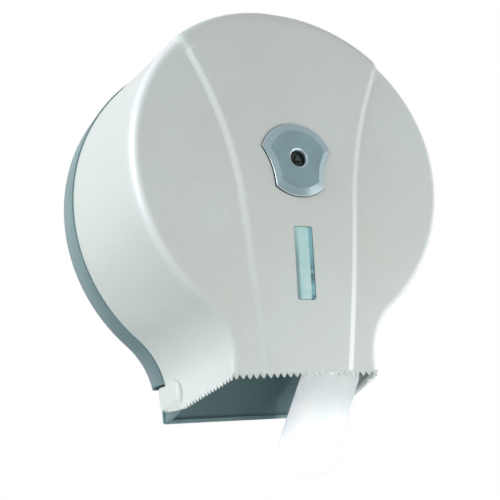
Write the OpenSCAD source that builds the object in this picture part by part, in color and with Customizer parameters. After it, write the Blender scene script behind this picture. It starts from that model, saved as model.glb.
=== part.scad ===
// Wall-mounted jumbo toilet roll dispenser.
// X runs left to right as seen from the front, Y runs into the wall, Z runs up.
// The wall is the plane Y = 0 and the origin is the centre of the round body on that wall.
// Depths are measured from the wall towards the user, so a depth d is at Y = -d.

/* [Body outline] */
// Radius of the round body at the wall
body_r = 150; // [146:0.5:156]
// Half width of the neck at the wall
neck_half = 79.5; // [78.5:0.5:82]
// Radius of the concave flare between the round body and the neck
flare_r = 66; // [60:1:72]
// Depth of the back plate's rim
rim_d = 27; // [24:0.5:29]
// Depth of the cover's face at its fullest point
face_d = 135; // [133:0.5:140]
// Wall thickness of the cover
cover_t = 2.6; // [2:0.1:3]
// Gap between the rim and the cover when it is shut
seam_gap = 0.4; // [0.3:0.1:0.8]

/* [Cover shape] */
// Inset of the cover's rear edge from the back plate's outline
cover_inset = 1.2; // [0.5:0.1:2]
// Sideways draft of the round part, per unit of depth
side_draft = 0.14; // [0.13:0.005:0.16]
// Upward drift of the round part, per unit of depth
round_lift = 0.078; // [0.06:0.002:0.085]
// Sideways draft of the neck, per unit of depth
neck_draft = 0.175; // [0.165:0.005:0.18]
// Loss of flare radius, per unit of depth
flare_loss = 0.16; // [0.1:0.01:0.2]
// How far the face falls back 100 mm away from its fullest height
face_bulge = 4.5; // [3.5:0.1:5]
// Height of the fullest point of the face
bulge_z = 18; // [10:1:24]
// Radius of the blend between the side wall and the face
edge_blend = 6.5; // [5:0.5:9]
// How far the corners of the front bottom edge lie below the round body
front_below = 6; // [4:0.5:8]
// Slope of the side bottom edges, per unit of depth
side_slope = 0.196; // [0.17:0.005:0.2]
// How far the lowest point of the side walls lies below the round body
side_below = 18.5; // [17:0.5:19]
// Rise of the centre panel above the wings
panel_rise = 2.5; // [1.5:0.1:3]
// Half width of the centre panel at its lower end
panel_half = 33; // [30:0.5:36]
// Widening of the centre panel, per unit of height
panel_slope = 0.098; // [0.08:0.002:0.11]
// Extra half width that the centre panel gains 100 mm above its knee
panel_flare = 17.2; // [15:0.2:18]
// Width of the sloping band beside the centre panel
band_w = 6.5; // [5:0.5:8]
// Half width of the raised strip that runs over the top
strip_half = 87; // [84:0.5:90]
// Rise of the strip above the side wall
strip_rise = 1.8; // [1:0.1:2.5]
// Pitch of the tear teeth on the front edge
front_pitch = 5.3; // [5:0.1:6]
// Pitch of the tear teeth on the side edges
side_pitch = 4.3; // [4:0.1:5]
// Depth of the tear teeth
tooth_h = 3.6; // [3:0.1:4]

/* [Back plate] */
// Thickness of the back plate's floor
floor_t = 3; // [2.5:0.1:3.2]
// Wall thickness of the rim
rim_t = 2.6; // [2:0.1:3]
// How far the back plate's bottom edge lies below the round body
plate_below = 26; // [25:0.5:28]
// How far the rim's lower ends stop above the lowest point of the round body
rim_above = 4; // [3.5:0.5:8]
// Depth of the lip along the bottom edge
lip_d = 6; // [5:0.5:7]
// Half distance between wall screws, across
screw_x = 80; // [70:1:85]
// Half distance between wall screws, up and down
screw_z = 75; // [65:1:80]
// Radius of the wall screw holes
screw_hole_r = 2.75; // [2.5:0.05:3]

/* [Hinge] */
// Depth of the hinge axis from the wall
hinge_d = 14.5; // [14.3:0.1:16]
// How far the hinge axis lies below the round body
hinge_below = 8; // [7.5:0.1:9]
// How far the lugs and cheeks reach behind the hinge axis
lug_behind = 5; // [4:0.5:6]
// How far the lugs reach below the hinge axis
lug_below = 10.5; // [10:0.1:11]
// Radius of the hinge pins
pin_r = 2.5; // [2:0.1:3]
// Running clearance between pin and bore, on the radius
pin_fit = 0.05; // [0.02:0.01:0.08]
// How far the outer faces of the lugs lie inside the back plate's outline
lug_inset = 0.5; // [0.3:0.1:1]
// Thickness of each cheek
cheek_t = 3.2; // [3:0.1:4]
// Depth of the front end of each cheek
cheek_d = 40; // [34:1:42]
// Thickness of each hinge lug
lug_t = 7; // [6:0.5:7]
// Side gap between lug and cheek
lug_gap = 0.4; // [0.3:0.1:0.6]
// Depth of each lug's front edge
lug_front_d = 51; // [46:0.5:54]
// Height of each lug's top above the hinge axis
lug_rise = 14; // [13.5:0.5:20]
// Plastic left outside each blind pin bore
lug_skin = 1.6; // [1.2:0.1:2]

/* [Spindle] */
// Height of the spindle and lock axis above the centre
spindle_z = 12; // [10:0.5:14]
// Radius of the spindle post
post_r = 12; // [11:0.5:13]
// Radius of the post's base flange
post_flange_r = 34; // [32:1:38]
// Thickness of the post's base flange
post_flange_t = 3.5; // [3:0.1:3.8]
// Running clearance of the hub on the post, on the radius
hub_fit = 0.08; // [0.05:0.01:0.1]
// Radius of the hub's flange
hub_flange_r = 46; // [42:1:50]
// Wall thickness of the hub
hub_wall = 2.5; // [2:0.1:3]

/* [Paper] */
// Radius of a full roll
roll_r = 114.5; // [105:0.5:116]
// Width of the roll
roll_w = 89; // [86:0.5:89.5]
// Depth of the roll's rear face
roll_d = 12; // [11.8:0.1:12.4]
// Inner radius of the cardboard core
core_r = 30; // [28:0.5:34]
// Wall thickness of the cardboard core
core_t = 2; // [1.5:0.1:3]
// Angle of the hanging paper from the vertical, where the flare leaves room for it
tail_angle = 26; // [24:0.5:27]
// Thickness of the hanging paper
tail_t = 0.5; // [0.4:0.1:0.8]
// Gap between the roll and the paper that leaves it
tail_gap = 0.3; // [0.2:0.05:0.5]
// Least gap between the hanging paper and the flare of the cover
tail_clear = 2; // [1:0.5:4]
// Length of paper that hangs below the back plate, at its rear corner
tail_below = 52; // [40:1:56]
// How much higher the paper's front lower corner is
tail_skew = 6; // [4:0.5:12]

/* [Window] */
// Width of the window opening
window_w = 16; // [12:0.5:20]
// Height of the window opening
window_h = 57; // [50:1:60]
// Height of the window's centre below the centre
window_drop = 70.5; // [66:0.5:72]
// Clearance around the window lens
lens_fit = 0.2; // [0.15:0.05:0.3]
// Width of the lens's flange behind the cover
lens_flange = 3; // [2:0.5:4]

/* [Lock] */
// Half width of the escutcheon at its upper corners
esc_top_half = 30; // [28:0.5:32]
// Half width of the escutcheon at its lower corners
esc_low_half = 20.5; // [19:0.5:22]
// Height of the escutcheon's upper corners above the centre
esc_top_z = 20.5; // [19:0.5:22]
// Height of the escutcheon's lower corners above the centre
esc_low_z = -11.3; // [-13:0.1:-10]
// Rise of the escutcheon's top arc above its upper corners
esc_top_arc = 20.5; // [18:0.5:22]
// Drop of the escutcheon's bottom arc below its lower corners
esc_low_arc = 7.5; // [6:0.5:9]
// Hollow of the escutcheon's concave sides
esc_hollow = 2.5; // [1.5:0.1:3.5]
// Width of the escutcheon's bevel
esc_bevel = 6.3; // [4:0.1:7]
// How far the escutcheon stands out of the face
esc_proud = 3; // [2:0.1:4]
// Depth of the pocket that the escutcheon sits in
esc_pocket = 1; // [0.8:0.1:1.2]
// Radius of the keyhole
key_r = 6.8; // [6.5:0.1:7.5]
// Radius of the lock barrel's shank
barrel_r = 6.2; // [5.5:0.1:6.3]
// Reach of the cam's tongue from the lock axis
cam_reach = 12.5; // [12:0.1:12.7]
// Thickness of the cam
cam_t = 2.5; // [2:0.1:2.6]

/* [Hidden] */
$fn = 96;
front_drop = body_r + front_below;
side_drop = body_r + side_below;
plate_drop = body_r + plate_below;
rim_drop = body_r - rim_above;
hinge_drop = body_r + hinge_below;
tail_drop = plate_drop + tail_below;
bulge_reach = 100;
panel_knee = 20;
wing_reach = 40;
seam_d = rim_d + seam_gap;
cover_r = body_r - cover_inset;
cover_neck = neck_half - cover_inset;
panel_d = face_d + panel_rise;
axis_panel_d = panel_d - face_bulge * pow((spindle_z - bulge_z) / bulge_reach, 2);
retainer_t = 2.5;
retainer_r = 18;
retainer_gap = 0.2;
hub_short = 8;
hub_flange_t = 2.8;
flange_gap = 0.2;
hub_front_d = roll_d + roll_w - hub_short;
hub_rear_d = roll_d - flange_gap - hub_flange_t;
post_tip_r = 8;
post_tip_d = hub_front_d + 2 * retainer_gap + retainer_t;
striker_t = 2.2;
striker_r = 16;
hub_r = core_r - 0.3;
sleeve_r = post_r + hub_fit + 2.7;
screw_r = 1.6;
screw_fit = 0.05;
screw_head_r = 3;
screw_head_t = 2;
post_screw_ring = 26;
post_screw_turns = [90, 210, 330];
head_bite = 0.5;
striker_screw_x = 5;
lock_flange_r = 18;
lock_flange_t = 2.5;
lock_screw_x = 14;
lock_screw_r = 1.4;
lock_screw_head_r = 2.8;
lock_seat_d = axis_panel_d - cover_t - 0.4;
esc_d = axis_panel_d - esc_pocket;
housing_l = 13;
housing_d = axis_panel_d - housing_l;
housing_r = 10;
barrel_head_r = 8.2;
barrel_head_t = 2.5;
barrel_l = 18.5;
barrel_end_d = axis_panel_d - barrel_l;
keeper_ahead = 2;
keeper_d = barrel_end_d + keeper_ahead;
keeper_z = 8;
web_z = 13.5;
web_t = 2.5;
keeper_half = 7;
shell_rows = [3, 6, 15];
row_count = shell_rows[0] + shell_rows[1] + shell_rows[2];
blend_steps = 3;
face_steps = 6;
col_count = 2 + blend_steps + face_steps;
spine_low = -60;
spine_top = 60;
edge_d = face_d - 3 * face_bulge;
comb_back = 4;
comb_behind = 12;
comb_ahead = 6;
side_comb_run = 70;
side_comb_span = 30;
corner_keep = 1;
lug_in = neck_half - lug_inset - lug_t;
cheek_half = lug_in - lug_gap;
lug_nose_r = 9;
lug_edge_r = 8;
lug_step = 3;
lug_corner = 2.5;
end_gap = 1;
cheek_root_rise = 24;
cheek_back_rise = 20;
cheek_nose_rise = 2;
cheek_nose_drop = 8.5;
cheek_root_d = 4;
end_step = 2;
floor_spread = 1.7;
floor_half = cheek_half + floor_spread;
plate_corner = 1.5;
boss_wall = 5;
boss_t = 2;
ring_gap = 1;
ring_wall = 3;
pin_head_r = 4;
pin_head_t = 1.2;
pin_head_gap = 0.1;
bore_gap = 0.1;
slot_w = 0.8;
slot_d = 1.1;
slot_share = 0.7;
thread_bite = 1.2;
hub_play = 0.4;
rib_t = 2;
rib_bite = 0.5;
rib_short = 3;
striker_seat = 0.1;
striker_screw_l = 12;
wrap_gap = 0.1;
paper_inset = 0.3;
tail_inset = 0.5;
tail_wrap = 30;
tail_spare = 12;
lens_sink = 1;
lens_proud = 0.4;
flange_sink = 0.6;
esc_gap = 0.5;
esc_seat = 0.05;
esc_wall = 0.4;
lock_post_r = 3.2;
post_gap = 0.1;
barrel_fit = 0.05;
head_fit = 0.1;
seat_sink = 0.1;
barrel_lip = 1;
key_peg_r = 3.4;
key_peg_t = 3.5;
cam_hub_r = 6;
tongue_w = 8;
cam_gap = 0.1;
cam_screw_l = 8;
thread_l = 7.9;
lock_screw_end = 0.6;

// Extrudes a front-view outline from depth d0 to depth d1.
module slab(d0, d1) {
    translate([0, -d0, 0]) rotate([90, 0, 0]) linear_extrude(d1 - d0) children();
}

// Extrudes a side-view outline, drawn as [Y, Z], from x0 to x1.
module across(x0, x1) {
    translate([x0, 0, 0]) rotate([90, 0, 90]) linear_extrude(x1 - x0) children();
}

module mirror_x() {
    children();
    mirror([1, 0, 0]) children();
}

// Disc on the spindle and lock axis, from depth d0 to depth d1.
module axis_disc(r, d0, d1) {
    slab(d0, d1) translate([0, spindle_z]) circle(r);
}

// Front-view outline of the body: a round body on a flared neck.
module bulb(r, half, flare, drop) {
    low = -sqrt(pow(r + flare, 2) - pow(half + flare, 2));
    join_x = (half + flare) * r / (r + flare);
    join_z = low * r / (r + flare);
    circle(r, $fn = 180);
    difference() {
        polygon([[-join_x, join_z], [join_x, join_z], [half, low], [half, -drop],
            [-half, -drop], [-half, low]]);
        mirror_x() translate([half + flare, low]) circle(flare, $fn = 180);
    }
}

// Cover outline at a depth s behind the seam.
function round_r(s, off) = cover_r - side_draft * s - off;
function round_z(s) = round_lift * s;
function neck_x(s, off) = cover_neck - neck_draft * s - off;
function flare_at(s, off) = flare_r - flare_loss * s + off;
function flare_low(s, off) = round_z(s)
    - sqrt(pow(round_r(s, off) + flare_at(s, off), 2) - pow(neck_x(s, off) + flare_at(s, off), 2));
function bottom_z(s) = -min(side_drop, front_drop + side_slope * (edge_d - seam_d - s));

// Point [x, z] of row j on the right half of the outline, from the bottom edge up to the top.
function neck_point(t, s, off) =
    [neck_x(s, off), bottom_z(s) + t * (flare_low(s, off) - bottom_z(s))];
function flare_point(t, s, off) =
    let (f = flare_at(s, off), c = neck_x(s, off) + f, low = flare_low(s, off),
        a = t * atan2(round_z(s) - low, c))
    [c - f * cos(a), low + f * sin(a)];
function round_point(t, s, off) =
    let (f = flare_at(s, off), c = neck_x(s, off) + f, low = flare_low(s, off),
        start = atan2(c, round_z(s) - low), a = start + t * (180 - start))
    [round_r(s, off) * sin(a), round_z(s) - round_r(s, off) * cos(a)];
function outline(j, s, off) =
    j <= shell_rows[0] ? neck_point(j / shell_rows[0], s, off) :
    j <= shell_rows[0] + shell_rows[1]
        ? flare_point((j - shell_rows[0]) / shell_rows[1], s, off) :
    round_point((j - shell_rows[0] - shell_rows[1]) / shell_rows[2], s, off);

// Depth of the face at a height, before the centre panel's rise.
function face_at(z, off) = face_d - off - face_bulge * pow((z - bulge_z) / bulge_reach, 2);
function ramp(t) = t <= 0 ? 0 : t >= 1 ? 1 : t * t * (3 - 2 * t);
function panel_x(z) = panel_half + panel_slope * (z + front_drop)
    + panel_flare * pow(max(0, z + panel_knee) / bulge_reach, 2);
function face_rise(x, z) = panel_rise * ramp((panel_x(z) + band_w - abs(x)) / band_w);
function top_rise(x, z) = z < 0 ? 0 : strip_rise * ramp((strip_half + band_w - abs(x)) / band_w);

// Distance behind the seam at which row j's side wall meets the face.
function crease(j, off, s = 100, n = 4) = n == 0 ? s :
    crease(j, off, face_at(outline(j, s, off)[1], off) - seam_d, n - 1);
function wall_point(j, s, off) =
    let (p = outline(j, s, off), c = round_z(s), r = max(1, norm([p[0], p[1] - c])),
        k = top_rise(p[0], p[1]) / r)
    [p[0] * (1 + k), -(seam_d + s), p[1] + (p[1] - c) * k];
function spine_z(z) = z <= spine_low ? z :
    spine_low + (z - spine_low) * (spine_top - spine_low) / (cover_r - spine_low);
function face_point(j, t, off) =
    let (p = outline(j, crease(j, off), off), x = p[0] * (1 - t),
        z = p[1] + t * (spine_z(p[1]) - p[1]))
    [x, -face_at(z, off) - face_rise(x, z), z];
function corner_point(j, off) =
    let (s = crease(j, off), w = wall_point(j, s, off), p = outline(j, s, off))
    [w[0], w[1] - face_rise(p[0], p[1]), w[2]];
function bezier(a, b, c, t) = a * (1 - t) * (1 - t) + b * 2 * t * (1 - t) + c * t * t;

// One row of the shell, from the seam over the blend to the middle of the face.
function shell_row(j, off) =
    let (s = crease(j, off), blend = edge_blend - off, span = outline(j, s, off)[0] + wing_reach,
        a = wall_point(j, s - blend, off), b = face_point(j, blend / span, off),
        c = corner_point(j, off))
    concat([wall_point(j, 0, off), wall_point(j, (s - blend) / 2, off)],
        [for (i = [0:blend_steps - 1]) bezier(a, c, b, i / blend_steps)],
        [for (i = [0:face_steps]) face_point(j, blend / span
            + (1 - blend / span) * i / face_steps, off)]);
function mirrored(p) = [-p[0], p[1], p[2]];
function full_row(j, off) =
    let (half = shell_row(j, off))
    concat([for (p = half) mirrored(p)], [for (i = [col_count - 1:-1:0]) half[i]]);
function grid(off) = [for (j = [0:row_count]) each full_row(j, off)];

// Index of a shell point; the two halves of the top row are one line.
function at(j, k, base) = base + j * (2 * col_count + 1)
    + (j == row_count && k > col_count ? 2 * col_count - k : k);
function sheet(base, flip) = [for (j = [0:row_count - 1], k = [0:2 * col_count - 1])
    let (a = at(j, k, base), b = at(j, k + 1, base), c = at(j + 1, k + 1, base),
        d = at(j + 1, k, base))
    each (flip ? [[a, b, c], [a, c, d]] : [[c, b, a], [d, c, a]])];
function strip(a, b, flip) = [for (i = [0:len(a) - 2])
    each (flip ? [[a[i], a[i + 1], b[i + 1]], [a[i], b[i + 1], b[i]]]
        : [[b[i + 1], a[i + 1], a[i]], [b[i], b[i + 1], a[i]]])];

// Thin shell of the cover, open at the back and at the bottom.
module cover_shell() {
    count = (row_count + 1) * (2 * col_count + 1);
    polyhedron(points = concat(grid(0), grid(cover_t)), faces = concat(
        sheet(0, false), sheet(count, true),
        strip([for (j = [0:row_count]) at(j, 0, 0)], [for (j = [0:row_count]) at(j, 0, count)], false),
        strip([for (j = [0:row_count]) at(j, 2 * col_count, 0)],
            [for (j = [0:row_count]) at(j, 2 * col_count, count)], true),
        strip([for (k = [0:2 * col_count]) at(0, k, 0)],
            [for (k = [0:2 * col_count]) at(0, k, count)], true)));
}

// Side-view outline of a hinge lug, drawn as [Y, Z].
module lug_outline() {
    top = lug_rise - hinge_drop;
    low = -hinge_drop - lug_below;
    rear = -hinge_d + lug_behind;
    translate([rear - lug_edge_r, low + lug_edge_r]) circle(lug_edge_r);
    translate([lug_nose_r - lug_front_d, low + lug_nose_r]) circle(lug_nose_r);
    translate([lug_nose_r - lug_front_d, top - lug_nose_r]) circle(lug_nose_r);
    polygon([[rear - lug_corner, -rim_drop - end_gap], [rear, -rim_drop - end_gap - lug_corner],
        [rear, low + lug_edge_r], [rear - lug_edge_r, low], [lug_nose_r - lug_front_d, low],
        [-lug_front_d, low + lug_nose_r], [-lug_front_d, top - lug_nose_r],
        [lug_nose_r - lug_front_d, top], [-seam_d - lug_step, top],
        [-seam_d, -rim_drop - end_gap]]);
}

// Comb of triangular notches along X, centred on the origin.
module comb(length, pitch) {
    count = floor(length / 2 / pitch);
    polygon(concat([[-length / 2, -comb_back], [-length / 2, 0]],
        [for (i = [-count:count - 1]) each [[i * pitch, 0], [(i + 0.5) * pitch, tooth_h]]],
        [[count * pitch, 0], [length / 2, 0], [length / 2, -comb_back]]));
}

// Cutters that leave the tear teeth on the front edge and on both side edges.
module teeth_cut() {
    front_x = neck_x(edge_d - seam_d, 0);
    slab(edge_d - comb_behind, edge_d + comb_ahead) translate([0, -front_drop])
        comb(2 * (front_x - corner_keep), front_pitch);
    mirror_x() across(front_x - comb_ahead, front_x + side_comb_span - comb_ahead)
        translate([comb_ahead - edge_d, -front_drop - side_slope * comb_ahead])
        rotate([0, 0, -atan(side_slope)]) translate([side_comb_run / 2, 0])
        comb(side_comb_run, side_pitch);
}

// Puts its children on the sloping face at the middle of the window.
module on_window() {
    middle = face_at(-window_drop, 0) + panel_rise;
    slope = 2 * face_bulge * (window_drop + bulge_z) / pow(bulge_reach, 2);
    translate([0, -middle, -window_drop]) rotate([atan(slope), 0, 0]) children();
}

module window_block(w, h, d0, d1) {
    translate([-w / 2, -d1, -h / 2]) cube([w, d1 - d0, h]);
}

// Pin bore on the hinge axis, reaching half on each side.
module pin_hole(half) {
    translate([0, -hinge_d, -hinge_drop]) rotate([0, 90, 0])
        cylinder(r = pin_r + pin_fit, h = 2 * half, center = true);
}

// Repeats a disc of the given radius at both lock screws, from depth d0 to depth d1.
module lock_screw_discs(r, d0, d1) {
    for (x = [-lock_screw_x, lock_screw_x]) slab(d0, d1) translate([x, spindle_z]) circle(r, $fn = 32);
}

// Slotted screw head at [x, z], its underside at depth d. It faces the wall when way is -1.
module screw_head(x, z, d, r, way) {
    d0 = min(d, d + way * screw_head_t);
    top = d + way * screw_head_t;
    translate([x, 0, z]) difference() {
        slab(d0, d0 + screw_head_t) circle(r, $fn = 32);
        slab(top - slot_d, top + slot_d) square([slot_w, 2 * slot_share * r], center = true);
    }
}

// Points of a shallow arc from a to b that rises by the given height.
function arc_through(a, b, rise, n) =
    let (chord = b - a, half = norm(chord) / 2, r = (half * half + rise * rise) / (2 * abs(rise)),
        side = sign(rise), mid = (a + b) / 2, normal = [-chord[1], chord[0]] / norm(chord),
        centre = mid + normal * (rise - side * r), sweep = 2 * asin(half / r),
        start = atan2(a[1] - centre[1], a[0] - centre[0]))
    [for (i = [0:n - 1]) let (t = start - side * sweep * i / n)
        centre + r * [cos(t), sin(t)]];

// Escutcheon outline: two arcs joined by concave sides.
function esc_outline() =
    let (tl = [-esc_top_half, esc_top_z], tr = [esc_top_half, esc_top_z],
        br = [esc_low_half, esc_low_z], bl = [-esc_low_half, esc_low_z])
    concat(arc_through(tl, tr, esc_top_arc, 20), arc_through(tr, br, -esc_hollow, 8),
        arc_through(br, bl, esc_low_arc, 14), arc_through(bl, tl, -esc_hollow, 8));

// Escutcheon plate with a straight wall from d0 to d1 and a bevel up to d2.
module esc_body(d0, d1, d2) {
    mid_z = (esc_top_z + esc_top_arc + esc_low_z - esc_low_arc) / 2;
    slab(d0, d1) polygon(esc_outline());
    translate([0, -d1, mid_z]) rotate([90, 0, 0])
        linear_extrude(d2 - d1, scale = 1 - esc_bevel / esc_top_half)
        polygon([for (p = esc_outline()) p - [0, mid_z]]);
}

module wall_screw_discs(r, d0, d1) {
    for (x = [-screw_x, screw_x], z = [-screw_z, screw_z]) slab(d0, d1) translate([x, z]) circle(r);
}

module post_screw_discs(r, d0, d1) {
    for (a = post_screw_turns) slab(d0, d1)
        translate([post_screw_ring * cos(a), spindle_z + post_screw_ring * sin(a)])
        circle(r, $fn = 32);
}

module striker_screw_discs(r, d0, d1) {
    for (x = [-striker_screw_x, striker_screw_x]) slab(d0, d1) translate([x, spindle_z])
        circle(r, $fn = 32);
}

module back_plate() {
    color([0.43, 0.54, 0.55]) difference() {
        union() {
            slab(0, floor_t) intersection() {
                bulb(body_r, neck_half, flare_r, plate_drop);
                union() {
                    translate([-body_r, -rim_drop - end_step])
                        square([2 * body_r, body_r + rim_drop + end_step]);
                    polygon([[floor_half, -rim_drop], [floor_half, plate_corner - plate_drop],
                        [floor_half - plate_corner, -plate_drop],
                        [plate_corner - floor_half, -plate_drop],
                        [-floor_half, plate_corner - plate_drop], [-floor_half, -rim_drop]]);
                }
            }
            slab(0, rim_d) intersection() {
                difference() {
                    bulb(body_r, neck_half, flare_r, plate_drop);
                    bulb(body_r - rim_t, neck_half - rim_t, flare_r + rim_t, plate_drop + 1);
                }
                translate([-body_r, -rim_drop]) square([2 * body_r, body_r + rim_drop]);
            }
            slab(0, lip_d) translate([cheek_t - cheek_half, -plate_drop])
                square([2 * (cheek_half - cheek_t), floor_t]);
            mirror_x() across(cheek_half - cheek_t, cheek_half)
                polygon([[0, plate_corner - plate_drop], [0, cheek_root_rise - hinge_drop],
                    [-hinge_d - cheek_root_d, cheek_back_rise - hinge_drop],
                    [-cheek_d, cheek_nose_rise - hinge_drop],
                    [-cheek_d, -hinge_drop - cheek_nose_drop], [-lip_d, plate_corner - plate_drop]]);
            wall_screw_discs(screw_hole_r + boss_wall, 0, floor_t + boss_t);
            slab(0, floor_t + boss_t) translate([0, spindle_z]) difference() {
                circle(post_flange_r + ring_gap + ring_wall);
                circle(post_flange_r + ring_gap);
            }
        }
        wall_screw_discs(screw_hole_r, -1, floor_t + boss_t + 1);
        post_screw_discs(screw_r + screw_fit, 1, floor_t + 1);
        pin_hole(body_r);
    }
}

module spindle_post() {
    color([0.36, 0.45, 0.47]) difference() {
        union() {
            axis_disc(post_flange_r, floor_t, floor_t + post_flange_t);
            axis_disc(post_r, floor_t + post_flange_t, hub_front_d);
            axis_disc(post_tip_r, hub_front_d, post_tip_d);
        }
        post_screw_discs(screw_r + screw_fit, floor_t - 1, floor_t + post_flange_t + 1);
        striker_screw_discs(screw_r + screw_fit, post_tip_d - striker_screw_l, post_tip_d + 1);
    }
}

module post_screws() {
    head_d = floor_t + post_flange_t;
    color([0.75, 0.76, 0.78]) {
        post_screw_discs(screw_r, thread_bite, head_d + head_bite);
        for (a = post_screw_turns) screw_head(post_screw_ring * cos(a),
            spindle_z + post_screw_ring * sin(a), head_d, screw_head_r, 1);
    }
}

// Drum with an inner sleeve that turns on the post, joined by radial ribs.
module roll_hub() {
    drum_d = hub_front_d - hub_play;
    color([0.80, 0.83, 0.84]) difference() {
        union() {
            axis_disc(hub_flange_r, hub_rear_d, roll_d - flange_gap);
            axis_disc(sleeve_r, hub_rear_d, drum_d);
            difference() {
                axis_disc(hub_r, hub_rear_d, drum_d);
                axis_disc(hub_r - hub_wall, roll_d, hub_front_d);
            }
            for (a = [30:60:330]) translate([0, 0, spindle_z]) rotate([0, a, 0])
                translate([sleeve_r - rib_bite, rib_short - drum_d, -rib_t / 2])
                cube([hub_r - hub_wall - sleeve_r + 2 * rib_bite,
                    drum_d - rib_short - roll_d + rib_bite, rib_t]);
        }
        axis_disc(post_r + hub_fit, 0, hub_front_d);
    }
}

module hub_retainer() {
    color([0.43, 0.54, 0.55]) difference() {
        axis_disc(retainer_r, hub_front_d + retainer_gap, hub_front_d + retainer_gap + retainer_t);
        axis_disc(post_tip_r + bore_gap, hub_front_d - 1, post_tip_d + 1);
    }
}

module latch_striker() {
    color([0.62, 0.64, 0.66]) difference() {
        union() {
            axis_disc(striker_r, post_tip_d + striker_seat, post_tip_d + striker_t);
            slab(post_tip_d + striker_seat, keeper_d + striker_t)
                translate([-keeper_half, spindle_z + web_z]) square([2 * keeper_half, web_t]);
            slab(keeper_d, keeper_d + striker_t)
                translate([-keeper_half, spindle_z + keeper_z])
                square([2 * keeper_half, web_z + web_t - keeper_z]);
        }
        striker_screw_discs(screw_r + screw_fit, post_tip_d - 1, post_tip_d + striker_t + 1);
    }
}

module striker_screws() {
    head_d = post_tip_d + striker_t;
    color([0.75, 0.76, 0.78]) {
        striker_screw_discs(screw_r, head_d - striker_screw_l, head_d + head_bite);
        for (x = [-striker_screw_x, striker_screw_x])
            screw_head(x, spindle_z, head_d, screw_head_r, 1);
    }
}

module roll_core() {
    color([0.68, 0.56, 0.42]) difference() {
        axis_disc(core_r + core_t, roll_d, roll_d + roll_w);
        axis_disc(core_r, roll_d - 1, roll_d + roll_w + 1);
    }
}

module paper_roll() {
    color([0.96, 0.97, 0.97]) difference() {
        axis_disc(roll_r, roll_d + paper_inset, roll_d + roll_w - paper_inset);
        axis_disc(core_r + core_t + wrap_gap, roll_d - 1, roll_d + roll_w + 1);
    }
}

// Angle at which the paper falls: a larger roll is led past the flare at a wider one.
function tail_lean() =
    let (s = roll_d + roll_w - seam_d, f = flare_at(s, cover_t),
        way = [neck_x(s, cover_t) + f, flare_low(s, cover_t) - spindle_z],
        room = roll_r + tail_gap + tail_t + tail_clear + f)
    max(tail_angle, atan2(-way[1], way[0]) - acos(room / norm(way)));

// Front-view band of the hanging paper: it leaves the roll at a tangent and falls straight.
module paper_tail() {
    lean = tail_lean();
    inner = roll_r + tail_gap;
    outer = inner + tail_t;
    leave = [cos(-lean), sin(-lean)];
    fall = [-sin(lean), -cos(lean)];
    reach = (tail_drop + spindle_z - inner * sin(lean)) / cos(lean) + tail_spare;
    turns = [for (i = [0:10]) tail_wrap * (1 - i / 10) - lean];
    rear_d = roll_d + tail_inset;
    front_d = roll_d + roll_w - tail_inset;
    color([0.97, 0.98, 1]) difference() {
        slab(rear_d, front_d) translate([0, spindle_z]) polygon(concat(
            [for (a = turns) inner * [cos(a), sin(a)]],
            [inner * leave + reach * fall, outer * leave + reach * fall],
            [for (i = [10:-1:0]) outer * [cos(turns[i]), sin(turns[i])]]));
        across(-roll_r, roll_r) polygon([[1 - rear_d, -tail_drop - 2 * tail_spare],
            [1 - rear_d, -tail_drop], [-front_d - 1, tail_skew - tail_drop],
            [-front_d - 1, -tail_drop - 2 * tail_spare]]);
    }
}

module cover() {
    color([0.84, 0.87, 0.86]) difference() {
        union() {
            cover_shell();
            mirror_x() across(lug_in, lug_in + lug_t) lug_outline();
        }
        teeth_cut();
        on_window() window_block(window_w, window_h, -window_w, window_w);
        axis_disc(housing_r + esc_gap, keeper_d, panel_d + 1);
        slab(esc_d, panel_d + 1) offset(delta = esc_gap) polygon(esc_outline());
        lock_screw_discs(lock_post_r + post_gap, keeper_d, panel_d + 1);
        pin_hole(lug_in + lug_t - lug_skin);
    }
}

// Headed pin, put in from inside through the cheek into the lug's blind bore.
module hinge_pin(side) {
    head_x = cheek_half - cheek_t - pin_head_gap;
    tip_x = lug_in + lug_t - lug_skin - pin_head_gap;
    color([0.75, 0.76, 0.78]) translate([0, -hinge_d, -hinge_drop]) rotate([0, side * 90, 0]) {
        translate([0, 0, head_x]) cylinder(r = pin_r, h = tip_x - head_x);
        translate([0, 0, head_x - pin_head_t]) cylinder(r = pin_head_r, h = pin_head_t);
    }
}

module hinge_pin_left() { hinge_pin(-1); }
module hinge_pin_right() { hinge_pin(1); }

module window_lens() {
    back = -cover_t;
    color([0.66, 0.82, 0.82]) on_window() {
        window_block(window_w - 2 * lens_fit, window_h - 2 * lens_fit, back - lens_sink, lens_proud);
        window_block(window_w + 2 * lens_flange, window_h + 2 * lens_flange,
            back - flange_sink - lens_sink, back - flange_sink);
    }
}

// Front badge plate of the lock; its two hollow posts go through the cover.
module lock_escutcheon() {
    color([0.48, 0.60, 0.61]) difference() {
        union() {
            esc_body(esc_d + esc_seat, axis_panel_d + esc_wall, axis_panel_d + esc_proud);
            lock_screw_discs(lock_post_r, lock_seat_d + seat_sink, axis_panel_d);
        }
        axis_disc(key_r, esc_d - 1, axis_panel_d + esc_proud + 1);
        lock_screw_discs(lock_screw_r + screw_fit, lock_seat_d - 1, axis_panel_d + 1);
    }
}

module lock_housing() {
    color([0.25, 0.28, 0.29]) difference() {
        union() {
            axis_disc(lock_flange_r, lock_seat_d - lock_flange_t, lock_seat_d);
            axis_disc(housing_r, housing_d, esc_d);
        }
        axis_disc(barrel_r + barrel_fit, housing_d - 1, esc_d + 1);
        axis_disc(barrel_head_r + head_fit, esc_d - barrel_head_t - head_fit, esc_d + 1);
        lock_screw_discs(lock_screw_r + screw_fit, housing_d, esc_d);
    }
}

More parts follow.
